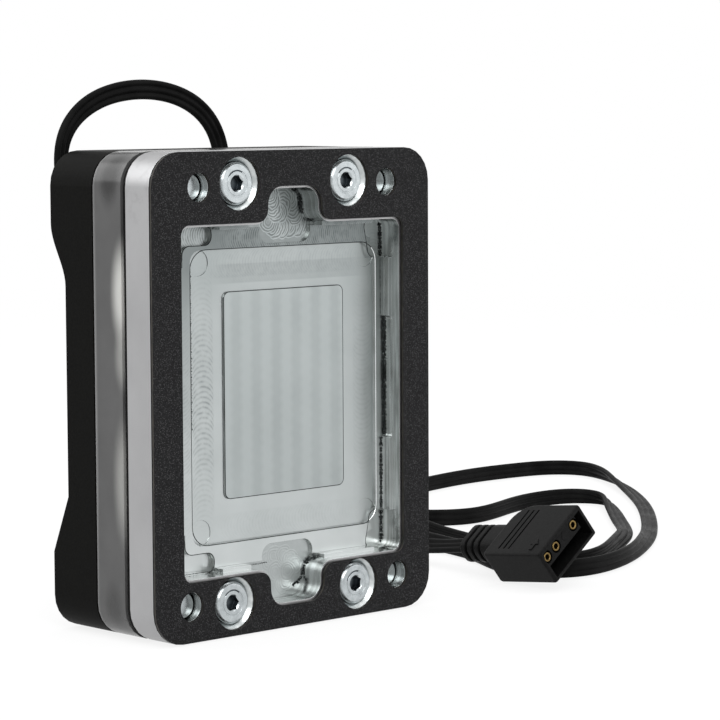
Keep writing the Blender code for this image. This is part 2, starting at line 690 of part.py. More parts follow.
def make_lights(board_finish, led_finish):
    """Two boards with two lights each, in the body's side pockets."""
    board_back = BODY_BACK - FIT_GAP
    board_front = board_back - BOARD_THICKNESS
    led_back = board_front - FIT_GAP
    low = PATH_HEIGHT - BOARD_HEIGHT / 2
    high = PATH_HEIGHT + BOARD_HEIGHT / 2
    for name, side in (("left", -1), ("right", 1)):
        outline = centred(side * BOARD_CENTRE, BOARD_WIDTH, low, high, FIT_GAP)
        prism(f"light_board_{name}", outline, board_front, board_back, board_finish)
        for row, height in LED_HEIGHTS.items():
            outline = centred(side * BOARD_CENTRE, LED_WIDTH, height - LED_HEIGHT / 2,
                              height + LED_HEIGHT / 2, FIT_GAP)
            prism(f"led_{name}_{row}", outline, led_back - LED_THICKNESS, led_back, led_finish)


def make_port_seals(finish):
    """Round seals about the two coolant bores."""
    depth = (SEAL_SEAT + COVER_FRONT) / 2
    section = SEAL_SECTION / 2
    profile = [(SEAL_RADIUS + along, depth + across)
               for along, across in circle(0, 0, 2 * section, SEAL_SECTION_SIDES)]
    profile.append(profile[0])
    for name, side in (("left", -1), ("right", 1)):
        x = side * PORT_SPACING / 2
        seal = revolve(f"port_seal_{name}", x, PATH_HEIGHT, profile, SEAL_SIDES, finish)
        weld = seal.modifiers.new("close_ring", "WELD")
        weld.merge_threshold = SEAL_WELD * MM


def cover_profile():
    """Return the cover's outline seen from its side, as depth and height."""
    rise = UPPER_BACK - WAIST_BACK
    span = UPPER_HUMP_BOTTOM - WAIST_TOP
    swell = []
    for step in range(SWELL_STEPS + 1):
        part = step / SWELL_STEPS
        ease = part * part * (3 - 2 * part)
        swell.append((WAIST_BACK + rise * ease, WAIST_TOP + span * part))
    return (
        [(COVER_FRONT, 0), (LOWER_BACK, 0), (LOWER_BACK, LOWER_HUMP_TOP), (WAIST_BACK, WAIST_BOTTOM)]
        + swell
        + [(UPPER_BACK, BLOCK_HEIGHT), (COVER_FRONT, BLOCK_HEIGHT)]
    )


def make_cover(finish):
    """Black cover with a hump at each end, which takes the hoses and the screws."""
    cover = prism("rear_cover", offset_block(0), COVER_FRONT, BLOCK_DEPTH + OVERCUT, finish)
    bm = bmesh.new()
    reach = BLOCK_WIDTH / 2 + OVERCUT
    side = [bm.verts.new((-reach, depth_to_y(depth), z)) for depth, z in cover_profile()]
    base = bm.faces.new(side)
    raised = bmesh.ops.extrude_face_region(bm, geom=[base])["geom"]
    moved = [item for item in raised if isinstance(item, bmesh.types.BMVert)]
    bmesh.ops.translate(bm, vec=(2 * reach, 0, 0), verts=moved)
    combine(cover, add_object("shape_cover", bm), "INTERSECT")
    for name, side_sign in (("left", -1), ("right", 1)):
        x = side_sign * PORT_SPACING / 2
        seat = WAIST_BACK - PORT_THREAD_DEPTH
        bore = circle(x, PATH_HEIGHT, PORT_BORE)
        combine(cover, prism(f"cut_port_bore_{name}", bore, COVER_FRONT - OVERCUT, WAIST_BACK + OVERCUT))
        thread = circle(x, PATH_HEIGHT, PORT_THREAD)
        combine(cover, prism(f"cut_port_{name}", thread, seat, WAIST_BACK + OVERCUT))
        narrow = circle(x, PATH_HEIGHT, PORT_THREAD - PORT_CHAMFER)
        wide = circle(x, PATH_HEIGHT, PORT_THREAD + 3 * PORT_CHAMFER)
        mouth = prism(f"cut_port_mouth_{name}", narrow, WAIST_BACK - PORT_CHAMFER,
                      WAIST_BACK + PORT_CHAMFER, None, wide)
        combine(cover, mouth)
    for place, (x, z) in mounting_places().items():
        hole = circle(x, z, MOUNTING_HOLE)
        combine(cover, prism(f"cut_cover_hole_{place}", hole, COVER_FRONT - OVERCUT, MOUNTING_SEAT + OVERCUT))
        head = circle(x, z, MOUNTING_HEAD + 2 * COUNTERBORE_GAP)
        combine(cover, prism(f"cut_cover_counterbore_{place}", head, MOUNTING_SEAT, BLOCK_DEPTH + OVERCUT))
    for place, (x, z) in assembly_places().items():
        hole = circle(x, z, SCREW_HOLE)
        end = SCREW_END_DEPTH + FIT_GAP
        combine(cover, prism(f"cut_cover_blind_{place}", hole, COVER_FRONT - OVERCUT, end))
    exit_hole = circle(LEAD_EXIT_X, LEAD_EXIT_Z, LEAD_HOLE, SMALL_SIDES)
    combine(cover, prism("cut_lead_exit", exit_hole, COVER_FRONT - OVERCUT, WAIST_BACK + OVERCUT))
    return cover


def make_assembly_screws(finish):
    """Screws that hold the block together, their heads sunk in the cold plate."""
    top = SCREW_RECESS_DEPTH - FIT_GAP - SCREW_HEAD_HEIGHT
    head = SCREW_HEAD / 2
    under = top + SCREW_HEAD_HEIGHT
    shank = SCREW_SHANK / 2
    profile = [(0, top), (head - SOCKET_TAPER, top), (head, top + SOCKET_TAPER), (head, under),
               (shank, under), (shank, SCREW_END_DEPTH - SOCKET_TAPER),
               (shank - SOCKET_TAPER, SCREW_END_DEPTH), (0, SCREW_END_DEPTH)]
    for place, (x, z) in assembly_places().items():
        screw = revolve(f"assembly_screw_{place}", x, z, profile, SMALL_SIDES, finish)
        socket = hexagon(x, z, SCREW_SOCKET)
        combine(screw, prism(f"cut_socket_{place}", socket, top - OVERCUT, top + SCREW_SOCKET_DEPTH))


def make_mounting_screws(finish):
    """Corner screws that press the block onto the processor, driven from the hose side."""
    under = MOUNTING_SEAT + FIT_GAP
    top = under + MOUNTING_HEAD_HEIGHT
    head = MOUNTING_HEAD / 2
    shank = MOUNTING_SHANK / 2
    for place, (x, z) in mounting_places().items():
        end = MOUNTING_END_DEPTHS[place]
        profile = [(0, end), (shank - SOCKET_TAPER, end), (shank, end + SOCKET_TAPER), (shank, under),
                   (head, under), (head, top - SOCKET_TAPER), (head - SOCKET_TAPER, top), (0, top)]
        screw = revolve(f"mounting_screw_{place}", x, z, profile, SMALL_SIDES, finish)
        socket = hexagon(x, z, MOUNTING_SOCKET)
        name = f"cut_mounting_socket_{place}"
        combine(screw, prism(name, socket, top - MOUNTING_HEAD_HEIGHT / 2, top + OVERCUT))


def place_on_connector(obj):
    """Set a piece that was modelled about the housing's centre into the housing's pose."""
    turn = [math.radians(angle) for angle in HOUSING_TURN]
    obj.rotation_euler = Euler(turn, "XYZ")
    obj.location = Vector(HOUSING_CENTRE) * MM
    return obj


def box_between(name, low, high, finish=None):
    """Return a box between two corners in the housing's own frame."""
    bm = bmesh.new()
    bmesh.ops.create_cube(bm, size=1.0)
    size = [far - near for near, far in zip(low, high)]
    centre = [(near + far) / 2 for near, far in zip(low, high)]
    bmesh.ops.scale(bm, vec=size, verts=bm.verts)
    bmesh.ops.translate(bm, vec=centre, verts=bm.verts)
    return place_on_connector(add_object(name, bm, finish))


def contact_place(position):
    """Return a contact's X and Z in the housing's own frame."""
    x = CONTACT_ROW_SHIFT + (position - CONTACT_ROW_MIDDLE) * CONTACT_PITCH
    return x, HOUSING_THICKNESS / 2 - CONTACT_DROP


def turned_along_length(name, x, z, radii, ends, sides, finish=None):
    """Return a round piece along the housing's length, hollow where two radii are given."""
    bm = bmesh.new()
    outer, inner = radii
    start, end = ends
    rings = []
    stations = [(outer, start), (outer, end), (inner, end), (inner, start)] if inner else [
        (outer, start), (outer, end)]
    for radius, y in stations:
        rings.append([bm.verts.new((px, y, pz)) for px, pz in circle(x, z, 2 * radius, sides)])
    pairs = list(zip(rings, rings[1:]))
    if inner:
        pairs.append((rings[-1], rings[0]))
    for first, second in pairs:
        for index in range(sides):
            following = (index + 1) % sides
            bm.faces.new((first[index], first[following], second[following], second[index]))
    if not inner:
        bm.faces.new(rings[0])
        bm.faces.new(rings[1][::-1])
    return place_on_connector(add_object(name, bm, finish))


def make_housing(finish):
    """Socket housing with round shoulders at its back, an open mouth and a tongue for the contacts."""
    half_width = HOUSING_WIDTH / 2
    half_length = HOUSING_LENGTH / 2
    half_thick = HOUSING_THICKNESS / 2
    far = HOUSING_FAR_SHOULDER
    near = HOUSING_NEAR_SHOULDER
    outline = (
        [(-half_width, -half_length), (half_width, -half_length)]
        + arc((half_width - far, half_length - far), far, 0, 90)
        + arc((-half_width + near, half_length - near), near, 90, 180, 3)
    )
    bm = bmesh.new()
    low = [bm.verts.new((x, y, -half_thick)) for x, y in outline]
    base = bm.faces.new(low)
    raised = bmesh.ops.extrude_face_region(bm, geom=[base])["geom"]
    moved = [item for item in raised if isinstance(item, bmesh.types.BMVert)]
    bmesh.ops.translate(bm, vec=(0, 0, HOUSING_THICKNESS), verts=moved)
    housing = place_on_connector(add_object("connector_housing", bm, finish))
    bevel = housing.modifiers.new("soft_edges", "BEVEL")
    bevel.width = HOUSING_CORNER * MM
    bevel.segments = 2
    bevel.limit_method = "ANGLE"
    bevel.angle_limit = SHARP_ANGLE
    mouth_end = -half_length + MOUTH_DEPTH
    tongue_left = contact_place(1)[0] - CONTACT_PITCH / 2
    tongue_low = half_thick - HOUSING_WALL - TONGUE_THICKNESS
    mouth = box_between("cut_mouth", (-half_width + HOUSING_WALL, -half_length - OVERCUT, -half_thick + HOUSING_WALL),
                        (half_width - HOUSING_WALL, mouth_end, half_thick - HOUSING_WALL))
    tongue = box_between("keep_tongue", (tongue_left - OVERCUT, -half_length + TONGUE_SETBACK, tongue_low),
                         (tongue_left + TONGUE_WIDTH, mouth_end + OVERCUT, half_thick))
    combine(housing, combine(mouth, tongue))
    for index in range(GROOVE_COUNT):
        y = half_length - GROOVE_START - index * GROOVE_PITCH
        groove = box_between(f"cut_groove_{index + 1}",
                             (-half_width + 2 * HOUSING_WALL, y - GROOVE_WIDTH / 2, half_thick - GROOVE_DEPTH),
                             (half_width - 2 * HOUSING_WALL, y + GROOVE_WIDTH / 2, half_thick + OVERCUT))
        combine(housing, groove)
    hole = CONTACT_OUTER / 2 + FIT_GAP
    hole_start = -half_length - OVERCUT
    hole_end = -half_length + TONGUE_SETBACK + CONTACT_LENGTH + FIT_GAP
    for position in CONTACT_POSITIONS:
        x, z = contact_place(position)
        name = f"cut_contact_{position}"
        combine(housing, turned_along_length(name, x, z, (hole, 0), (hole_start, hole_end), SMALL_SIDES))
    return housing


def make_contacts(finish):
    """Round sockets in the first, second and fourth positions."""
    start = -HOUSING_LENGTH / 2 + TONGUE_SETBACK
    for position in CONTACT_POSITIONS:
        x, z = contact_place(position)
        radii = (CONTACT_OUTER / 2, CONTACT_BORE / 2)
        ends = (start, start + CONTACT_LENGTH)
        turned_along_length(f"contact_{position}", x, z, radii, ends, SMALL_SIDES, finish)


def make_strain_relief(finish):
    """Ribbed sleeve between the housing and the lead."""
    bm = bmesh.new()
    start = HOUSING_LENGTH / 2 + FIT_GAP
    pitch = (RELIEF_LENGTH - RELIEF_PLAIN) / RELIEF_RIB_COUNT
    stations = [(start, 0.0)]
    for index in range(RELIEF_RIB_COUNT):
        edge = start + RELIEF_PLAIN + index * pitch
        rib = edge + (1 - RELIEF_RIB_SHARE) * pitch
        stations += [(edge, 0.0), (edge + RELIEF_RIB_SLOPE, RELIEF_WAIST),
                     (rib - RELIEF_RIB_SLOPE, RELIEF_WAIST), (rib, 0.0)]
    stations.append((start + RELIEF_LENGTH, 0.0))
    rings = []
    for y, inset in stations:
        half = RELIEF_WIDTH / 2 - inset
        rise = RELIEF_THICKNESS / 2 - inset
        outline = rounded(-half, half, -rise, rise, rise * RELIEF_ROUND, 4)
        rings.append([bm.verts.new((x, y, z)) for x, z in outline])
    for first, second in zip(rings, rings[1:]):
        for index in range(len(first)):
            following = (index + 1) % len(first)
            bm.faces.new((first[index], first[following], second[following], second[index]))
    bm.faces.new(rings[0])
    bm.faces.new(rings[-1][::-1])
    return place_on_connector(add_object("strain_relief", bm, finish))


def lead_route():
    """Return the lead's own points, from inside the cover to the strain relief's back."""
    turn = Euler([math.radians(angle) for angle in HOUSING_TURN], "XYZ").to_matrix()
    back = HOUSING_LENGTH / 2 + FIT_GAP + RELIEF_LENGTH + FIT_GAP
    centre = Vector(HOUSING_CENTRE)
    last = centre + turn @ Vector((0, back, 0))
    before = centre + turn @ Vector((0, back + LEAD_DIAMETER, 0))
    first = Vector((LEAD_EXIT_X, depth_to_y(COVER_FRONT + LEAD_ENTRY), LEAD_EXIT_Z))
    second = Vector((LEAD_EXIT_X, depth_to_y(WAIST_BACK), LEAD_EXIT_Z))
    return [first, second] + [Vector(point) for point in LEAD_WAY] + [before, last]


def resampled(points, count, bend_weight=0.0):
    """Read points from a line, closer together where it bends."""
    travelled = [0.0]
    for index, (first, second) in enumerate(zip(points, points[1:])):
        step = second - first
        turn = step.angle(points[index + 2] - second, 0.0) if index + 2 < len(points) else 0.0
        travelled.append(travelled[-1] + step.length + bend_weight * turn)
    read = []
    index = 0
    for number in range(count):
        target = travelled[-1] * number / (count - 1)
        while index < len(points) - 2 and travelled[index + 1] < target:
            index += 1
        span = travelled[index + 1] - travelled[index]
        part = (target - travelled[index]) / span if span else 0.0
        read.append(points[index].lerp(points[index + 1], min(part, 1.0)))
    return read


def smooth_points(route):
    """Draw a smooth curve through the route and ease its tight bends."""
    ends = [2 * route[0] - route[1]] + route + [2 * route[-1] - route[-2]]
    fine = []
    for before, here, there, after in zip(ends, ends[1:], ends[2:], ends[3:]):
        spans = [(b - a).length ** 0.5 for a, b in ((before, here), (here, there), (there, after))]
        leave = (here - before) / spans[0] - (there - before) / (spans[0] + spans[1]) + (there - here) / spans[1]
        reach = (there - here) / spans[1] - (after - here) / (spans[1] + spans[2]) + (after - there) / spans[2]
        leave *= spans[1]
        reach *= spans[1]
        steps = math.ceil((there - here).length / LEAD_FINE_STEP)
        for step in range(steps):
            t = step / steps
            fine.append((2 * t**3 - 3 * t**2 + 1) * here + (t**3 - 2 * t**2 + t) * leave
                        + (3 * t**2 - 2 * t**3) * there + (t**3 - t**2) * reach)
    fine.append(route[-1])
    length = sum((b - a).length for a, b in zip(fine, fine[1:]))
    fine = resampled(fine, round(length / LEAD_FINE_STEP) + 1)
    for _ in range(LEAD_EASE_PASSES):
        eased = [(a + 2 * b + c) / 4 for a, b, c in zip(fine, fine[1:], fine[2:])]
        fine = [fine[0]] + eased + [fine[-1]]
    for point in fine:
        point.z = max(point.z, LEAD_DIAMETER / 2)
    return fine


def make_lead(finish):
    """The lead as a round tube along its real way."""
    points = resampled(smooth_points(lead_route()), LEAD_POINT_COUNT, LEAD_BEND_WEIGHT)
    curve = bpy.data.curves.new("lead", "CURVE")
    curve.dimensions = "3D"
    curve.bevel_depth = LEAD_DIAMETER / 2 * MM
    curve.bevel_resolution = 2
    curve.use_fill_caps = True
    spline = curve.splines.new("POLY")
    spline.points.add(len(points) - 1)
    for target, point in zip(spline.points, points):
        target.co = (*(point * MM), 1.0)
    curve.materials.append(finish)
    lead = bpy.data.objects.new("lead", curve)
    bpy.context.scene.collection.objects.link(lead)
    return lead


def build():
    """Make every piece."""
    remove_all()
    nickel = material("nickel_plate", (0.46, 0.48, 0.48), 0.28, 1.0)
    steel = material("screw_steel", (0.48, 0.52, 0.53), 0.3, 1.0)
    film = material("insulating_film", (0.022, 0.022, 0.023), 0.55)
    rubber = material("seal_rubber", (0.01, 0.01, 0.01), 0.7)
    acrylic = material("smoked_acrylic", (0.11, 0.11, 0.11), 0.15)
    black = material("black_cover", (0.009, 0.009, 0.0085), 0.45)
    board = material("light_board", (0.02, 0.045, 0.03), 0.5)
    diode = material("light_diode", (0.72, 0.7, 0.62), 0.4)
    stainless = material("jet_steel", (0.5, 0.5, 0.49), 0.35, 1.0)
    plastic = material("connector_plastic", (0.02, 0.02, 0.02), 0.5)
    brass = material("gilt_contact", (0.62, 0.45, 0.2), 0.3, 1.0)
    wire = material("wire_sleeve", (0.008, 0.008, 0.008), 0.4)
    make_film(film)
    make_cold_plate(nickel)
    make_gasket(rubber)
    make_jet_plate(stainless)
    make_body(acrylic)
    make_port_seals(rubber)
    make_lights(board, diode)
    make_cover(black)
    make_assembly_screws(steel)
    make_mounting_screws(steel)
    make_housing(plastic)
    make_contacts(brass)
    make_strain_relief(plastic)
    make_lead(wire)


build()
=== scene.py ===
# Liquid-cooling block for a processor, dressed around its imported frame.
import math

import bmesh
import bpy
from mathutils import Euler, Matrix, Vector


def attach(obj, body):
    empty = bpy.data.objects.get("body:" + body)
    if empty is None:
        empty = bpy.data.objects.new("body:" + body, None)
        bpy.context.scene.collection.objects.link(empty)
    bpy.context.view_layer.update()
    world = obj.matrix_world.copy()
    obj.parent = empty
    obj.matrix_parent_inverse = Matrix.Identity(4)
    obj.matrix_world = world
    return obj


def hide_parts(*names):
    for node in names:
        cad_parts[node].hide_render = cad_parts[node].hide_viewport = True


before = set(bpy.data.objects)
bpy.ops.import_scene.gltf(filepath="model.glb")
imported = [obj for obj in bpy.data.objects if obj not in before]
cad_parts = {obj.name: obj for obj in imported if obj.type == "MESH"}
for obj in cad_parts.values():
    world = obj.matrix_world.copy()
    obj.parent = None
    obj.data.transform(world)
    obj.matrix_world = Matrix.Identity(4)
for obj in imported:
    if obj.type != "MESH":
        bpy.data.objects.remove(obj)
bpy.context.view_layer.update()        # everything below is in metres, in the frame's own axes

scene = bpy.context.scene
mm = 0.001               # a pattern's scale is written per mm, so 4 / mm gives grains of about 0.25 mm
blockDepth = 23.5        # film front to the back of the lower hump
print("frame loaded,", len(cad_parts), "nodes")


def yAt(depth):
    return (depth - blockDepth / 2) * mm    # depth in mm behind the film's front


# Camera
view = {"place": (-0.28185, -0.32651, 0.07741), "yaw": 43.096, "pitch": -5.165, "roll": -0.286,
        "lens": 144.97, "sensor": 36.0, "clip": (0.05, 20)}


def makeCamera():
    yaw, pitch, roll = (math.radians(view[key]) for key in ("yaw", "pitch", "roll"))
    ahead = Vector((math.sin(yaw) * math.cos(pitch), math.cos(yaw) * math.cos(pitch), math.sin(pitch)))
    level = Vector((math.cos(yaw), -math.sin(yaw), 0))
    up = level.cross(ahead)
    across = math.cos(roll) * level + math.sin(roll) * up
    upright = math.cos(roll) * up - math.sin(roll) * level
    data = bpy.data.cameras.new("camera")
    data.lens, data.sensor_width = view["lens"], view["sensor"]
    data.clip_start, data.clip_end = view["clip"]
    seen = bpy.data.objects.new("camera", data)
    turned = Matrix((across, upright, -ahead)).transposed().to_4x4()
    seen.matrix_world = Matrix.Translation(view["place"]) @ turned
    scene.collection.objects.link(seen)
    scene.camera = seen


makeCamera()
scene.view_settings.view_transform = "Standard"
print("camera set")


# Small helpers
def tint(code):
    # an sRGB hex colour as linear numbers
    parts = [int(code[i:i + 2], 16) / 255 for i in (1, 3, 5)]
    return (*(c / 12.92 if c <= 0.04045 else ((c + 0.055) / 1.055) ** 2.4 for c in parts), 1.0)


def put(tree, kind, inputs=None, stops=(), **settings):
    # one node with its settings and colour stops; an input takes a value, a socket, a node or a list
    node = tree.nodes.new(kind)
    for name, value in settings.items():
        setattr(node, name, value)
    for name, given in (inputs or {}).items():
        for value in given if isinstance(given, list) else [given]:
            if isinstance(value, bpy.types.Node):
                value = value.outputs[0]
            if isinstance(value, bpy.types.NodeSocket):
                tree.links.new(value, node.inputs[name])
            else:
                node.inputs[name].default_value = value
    for index, (spot, code) in enumerate(stops):
        points = node.color_ramp.elements
        point = points[index] if index < 2 else points.new(spot)
        point.position, point.color = spot, tint(code)
    return node


def startMaterial(name, **shader):
    made = bpy.data.materials.new(name)
    made.use_nodes = True
    tree = made.node_tree
    main = tree.nodes["Principled BSDF"]
    for key, value in shader.items():
        main.inputs[key.replace("_", " ")].default_value = value
    return made, tree, main, put(tree, "ShaderNodeTexCoord").outputs["Object"]


def finishMaterial(tree, main, colour, height=None, strength=0.2, distance=0.03):
    # joins the colour and a bump, whose distance is in mm, to the shader
    tree.links.new(colour, main.inputs["Base Color"])
    if height is not None:
        bump = put(tree, "ShaderNodeBump", {"Height": height, "Strength": strength, "Distance": distance * mm})
        tree.links.new(bump.outputs[0], main.inputs["Normal"])


def addPiece(name, bm, *materials):
    mesh = bpy.data.meshes.new(name)
    bm.to_mesh(mesh)
    bm.free()
    for made in materials:
        mesh.materials.append(made)
    piece = bpy.data.objects.new(name, mesh)
    scene.collection.objects.link(piece)
    return piece


def settle(piece, sharp=35, bevel=0.0, segments=2, edgeMaterial=-1, angle=30):
    # rounds the edges, weights the normals, and makes the result a plain mesh
    piece.data.shade_smooth()
    piece.data.set_sharp_from_angle(angle=math.radians(sharp))
    if bevel:
        soft = piece.modifiers.new("soft", "BEVEL")
        soft.width, soft.segments, soft.limit_method = bevel * mm, segments, "ANGLE"
        soft.angle_limit, soft.use_clamp_overlap = math.radians(angle), True
        soft.material, soft.miter_outer = edgeMaterial, "MITER_ARC"
    even = piece.modifiers.new("even", "WEIGHTED_NORMAL")
    even.keep_sharp, even.weight = True, 80
    makeSolid(piece)
    return piece


def makeSolid(piece):
    solid = bpy.data.meshes.new_from_object(piece.evaluated_get(bpy.context.evaluated_depsgraph_get()))
    piece.modifiers.clear()
    piece.data = solid
    solid.name = piece.name


# how near two places are one, how near a cut counts as through a corner, and the angle that counts as flat
merging = {"near": 0.002, "cut": 0.0005, "flat": 0.4}


def copyOf(node, name, materials, classify=None, cuts=(), reshape=None):
    # a merged copy of a CAD node's mesh, its faces sorted into materials
    bm = bmesh.new()
    bm.from_mesh(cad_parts[node].data)
    if reshape:
        reshape(bm)
    bmesh.ops.remove_doubles(bm, verts=bm.verts, dist=merging["near"] * mm)
    for place, normal in cuts:
        bmesh.ops.bisect_plane(bm, geom=bm.verts[:] + bm.edges[:] + bm.faces[:],
                               dist=merging["cut"] * mm, plane_co=place, plane_no=normal)
    bm.normal_update()
    for face in bm.faces:
        face.material_index = classify(face.calc_center_median(), face.normal) if classify else 0
    bmesh.ops.dissolve_limit(bm, angle_limit=math.radians(merging["flat"]), verts=bm.verts,
                             edges=bm.edges, delimit={"MATERIAL"})
    return addPiece(name, bm, *materials)


def setOn(piece, slotName, *replaced):
    # every piece rides on the one body there is
    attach(piece, "root")
    if replaced:
        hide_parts(*replaced)


# The lead: three wires side by side, lying on the floor in two loops; sizes in mm, angles in degrees
lead = {"width": 3.0, "wires": 3, "wire": 1.0, "fineStep": 0.8, "easePasses": 26,
        "exit": (-15.5, 8.15, 47.0), "entry": 1.5, "coverFront": 13.5,
        "housing": (51.9, -11.4, 6.45), "turn": (-7.7, -35.7, 2.6), "back": 6.55, "gap": 0.3, "relief": 8.3}
# how the ribbon turns. It lies over where it runs along one way, from one closeness to that way to another.
# Clear of the arch it stands, between two heights, and its last places turn to the row of contacts
ribbon = {"lean": 0.9, "along": (0.683, 0.73, 0), "leanFrom": 0.962, "leanTo": 0.996, "leanPasses": 420,
          "riseTurn": -0.36, "rising": 0.85, "clear": (-5, 20), "arch": (34, 9), "plugTurn": (50, 6),
          "turnPasses": 12, "floor": (9, 3), "web": 32, "arcSteps": 6}
leadWay = [
    (-15.5, 10.6, 47.1), (-15.6, 13.8, 48.5), (-16.4, 15.9, 52.0), (-18.2, 16.0, 56.6),
    (-20.2, 15.9, 61.0), (-21.5, 15.8, 65.4), (-22.0, 15.8, 69.6), (-20.9, 15.8, 73.1), (-18.1, 15.8, 75.8),
    (-13.9, 15.8, 77.9), (-5.4, 15.8, 79.0), (2.2, 15.8, 77.6), (6.4, 15.8, 75.1),
    (8.8, 15.8, 71.9), (9.6, 15.9, 68.4), (9.9, 16.2, 60.0), (10.8, 17.2, 45.0),
    (13.4, 20.0, 30.0), (18.6, 25.0, 15.5), (28.0, 32.0, 5.5), (42.0, 41.0, 1.6),
    (59.0, 51.0, 1.5), (72.0, 54.5, 1.5), (80.0, 50.0, 1.5), (84.0, 44.4, 1.5),
    (90.0, 41.6, 1.5), (98.0, 43.4, 1.5), (107.3, 47.0, 1.5), (117.0, 48.6, 1.5),
    (123.8, 47.1, 1.5), (126.0, 41.9, 1.5), (121.6, 36.2, 1.5), (110.2, 23.8, 1.5),
    (97.1, 10.5, 1.5), (79.9, -1.3, 1.5), (73.0, -5.2, 1.5), (66.6, -6.6, 1.5),
    (61.4, -3.6, 1.5), (61.0, 2.4, 1.5), (63.8, 8.5, 1.5), (67.6, 18.0, 1.5),
    (71.2, 32.5, 1.8), (72.6, 43.0, 3.4), (74.6, 54.0, 4.9), (81.0, 63.5, 3.4),
    (93.0, 71.5, 1.8), (105.0, 75.8, 1.5), (116.4, 79.0, 1.5), (130.3, 81.5, 1.5),
    (142.9, 81.2, 1.5), (151.2, 79.4, 1.5), (154.9, 74.5, 1.5), (152.9, 67.2, 1.5),
    (143.3, 51.9, 1.5), (128.5, 34.1, 1.5), (111.3, 17.3, 1.5), (95.7, 4.2, 1.5),
    (79.8, -6.6, 1.5), (68.6, -11.2, 1.5), (61.4, -11.9, 1.5), (56.0, -9.0, 1.5),
    (54.6, -2.4, 1.5), (57.2, 5.0, 1.5), (61.2, 13.0, 1.5), (63.8, 24.2, 1.5),
    (66.0, 34.0, 1.5), (64.6, 41.6, 1.5), (58.2, 45.4, 1.5), (51.4, 42.2, 1.5),
    (50.4, 35.4, 1.6), (52.4, 27.0, 2.2), (53.8, 18.0, 3.0), (53.2, 11.6, 3.7),
]


def leadTurn():
    return Euler([math.radians(angle) for angle in lead["turn"]], "XYZ").to_matrix()


def leadLine():
    # the same smooth curve as the frame's tube follows, in mm, read every 0.8 mm
    turn, centre = leadTurn(), Vector(lead["housing"])
    back = lead["back"] + lead["gap"] + lead["relief"] + lead["gap"]
    start = Vector(lead["exit"])
    inside = Vector((start.x, yAt(lead["coverFront"] + lead["entry"]) / mm, start.z))
    route = [inside, start] + [Vector(p) for p in leadWay]
    route += [centre + turn @ Vector((0, back + lead["width"], 0)), centre + turn @ Vector((0, back, 0))]
    ends = [2 * route[0] - route[1]] + route + [2 * route[-1] - route[-2]]
    fine = []
    for before, here, there, after in zip(ends, ends[1:], ends[2:], ends[3:]):
        gaps = [(b - a).length ** 0.5 for a, b in ((before, here), (here, there), (there, after))]
        leave = (here - before) / gaps[0] - (there - before) / (gaps[0] + gaps[1]) + (there - here) / gaps[1]
        reach = (there - here) / gaps[1] - (after - here) / (gaps[1] + gaps[2]) + (after - there) / gaps[2]
        steps = math.ceil((there - here).length / lead["fineStep"])
        for step in range(steps):
            t = step / steps
            fine.append((2 * t**3 - 3 * t**2 + 1) * here + (t**3 - 2 * t**2 + t) * gaps[1] * leave
                        + (3 * t**2 - 2 * t**3) * there + (t**3 - t**2) * gaps[1] * reach)
    fine.append(route[-1])
    fine = smoothed(evenly(fine, lead["fineStep"]), lead["easePasses"])
    for point in fine:
        point.z = max(point.z, lead["width"] / 2)
    return fine


def evenly(points, step):
    travelled = [0.0]
    for first, second in zip(points, points[1:]):
        travelled.append(travelled[-1] + (second - first).length)
    count, read, index = round(travelled[-1] / step), [], 0
    for number in range(count + 1):
        target = travelled[-1] * number / count
        while index < len(points) - 2 and travelled[index + 1] < target:
            index += 1
        part = (target - travelled[index]) / max(travelled[index + 1] - travelled[index], 1e-9)
        read.append(points[index].lerp(points[index + 1], min(part, 1.0)))
    return read


def smoothed(values, passes):
    # each value eased towards its neighbours, with the two ends kept
    for _ in range(passes):
        eased = [(a + 2 * b + c) / 4 for a, b, c in zip(values, values[1:], values[2:])]
        values = [values[0]] + eased + [values[-1]]
    return values


def ease(value, low, high):
    part = min(max((value - low) / (high - low), 0), 1)
    return part * part * (3 - 2 * part)


def leanShares(tangents):
    # how far the ribbon lies over at each point: it stands in the bends, and lies over on the long
    # straight runs that join them, which all go one way
    along = Vector(ribbon["along"])
    runs = [ease(abs(tangent.dot(along)), ribbon["leanFrom"], ribbon["leanTo"]) for tangent in tangents]
    return smoothed([ribbon["lean"] * run for run in runs], ribbon["leanPasses"])


def thinWays(points, tangents):
    # the ribbon's thin direction: backwards over the arch, on edge or leaning on the floor, and then
    # turned into the row of contacts at the connector
    upward = Vector((0, 0, 1))
    plug = -(leadTurn() @ upward)
    (clearX, clearY), (archHigh, archLow) = ribbon["clear"], ribbon["arch"]
    turnFrom, turnTo = (len(points) - 1 - places for places in ribbon["plugTurn"])
    ways = []
    for index, (point, tangent, lean) in enumerate(zip(points, tangents, leanShares(tangents))):
        leaning = upward.cross(tangent).normalized().lerp(upward, lean)
        down = ease(-point.z, -archHigh, -archLow) if point.x > clearX or point.y > clearY else 0
        want = Vector((ribbon["riseTurn"] * max(tangent.z, 0), 1, 0)).lerp(leaning, down)
        want = want.lerp(plug, ease(index, turnFrom, turnTo))
        ways.append((want - want.dot(tangent) * tangent).normalized())
    firstUp = next(i for i, tangent in enumerate(tangents) if tangent.z > ribbon["rising"])
    for index in range(firstUp - 1, -1, -1):
        way = ways[index + 1]
        ways[index] = (way - way.dot(tangents[index]) * tangents[index]).normalized()
    for _ in range(ribbon["turnPasses"]):
        eased = [(a + 2 * b + c).normalized() for a, b, c in zip(ways, ways[1:], ways[2:])]
        ways = [ways[0]] + eased + [ways[-1]]
    return [(way - way.dot(t) * t).normalized() for way, t in zip(ways, tangents)]


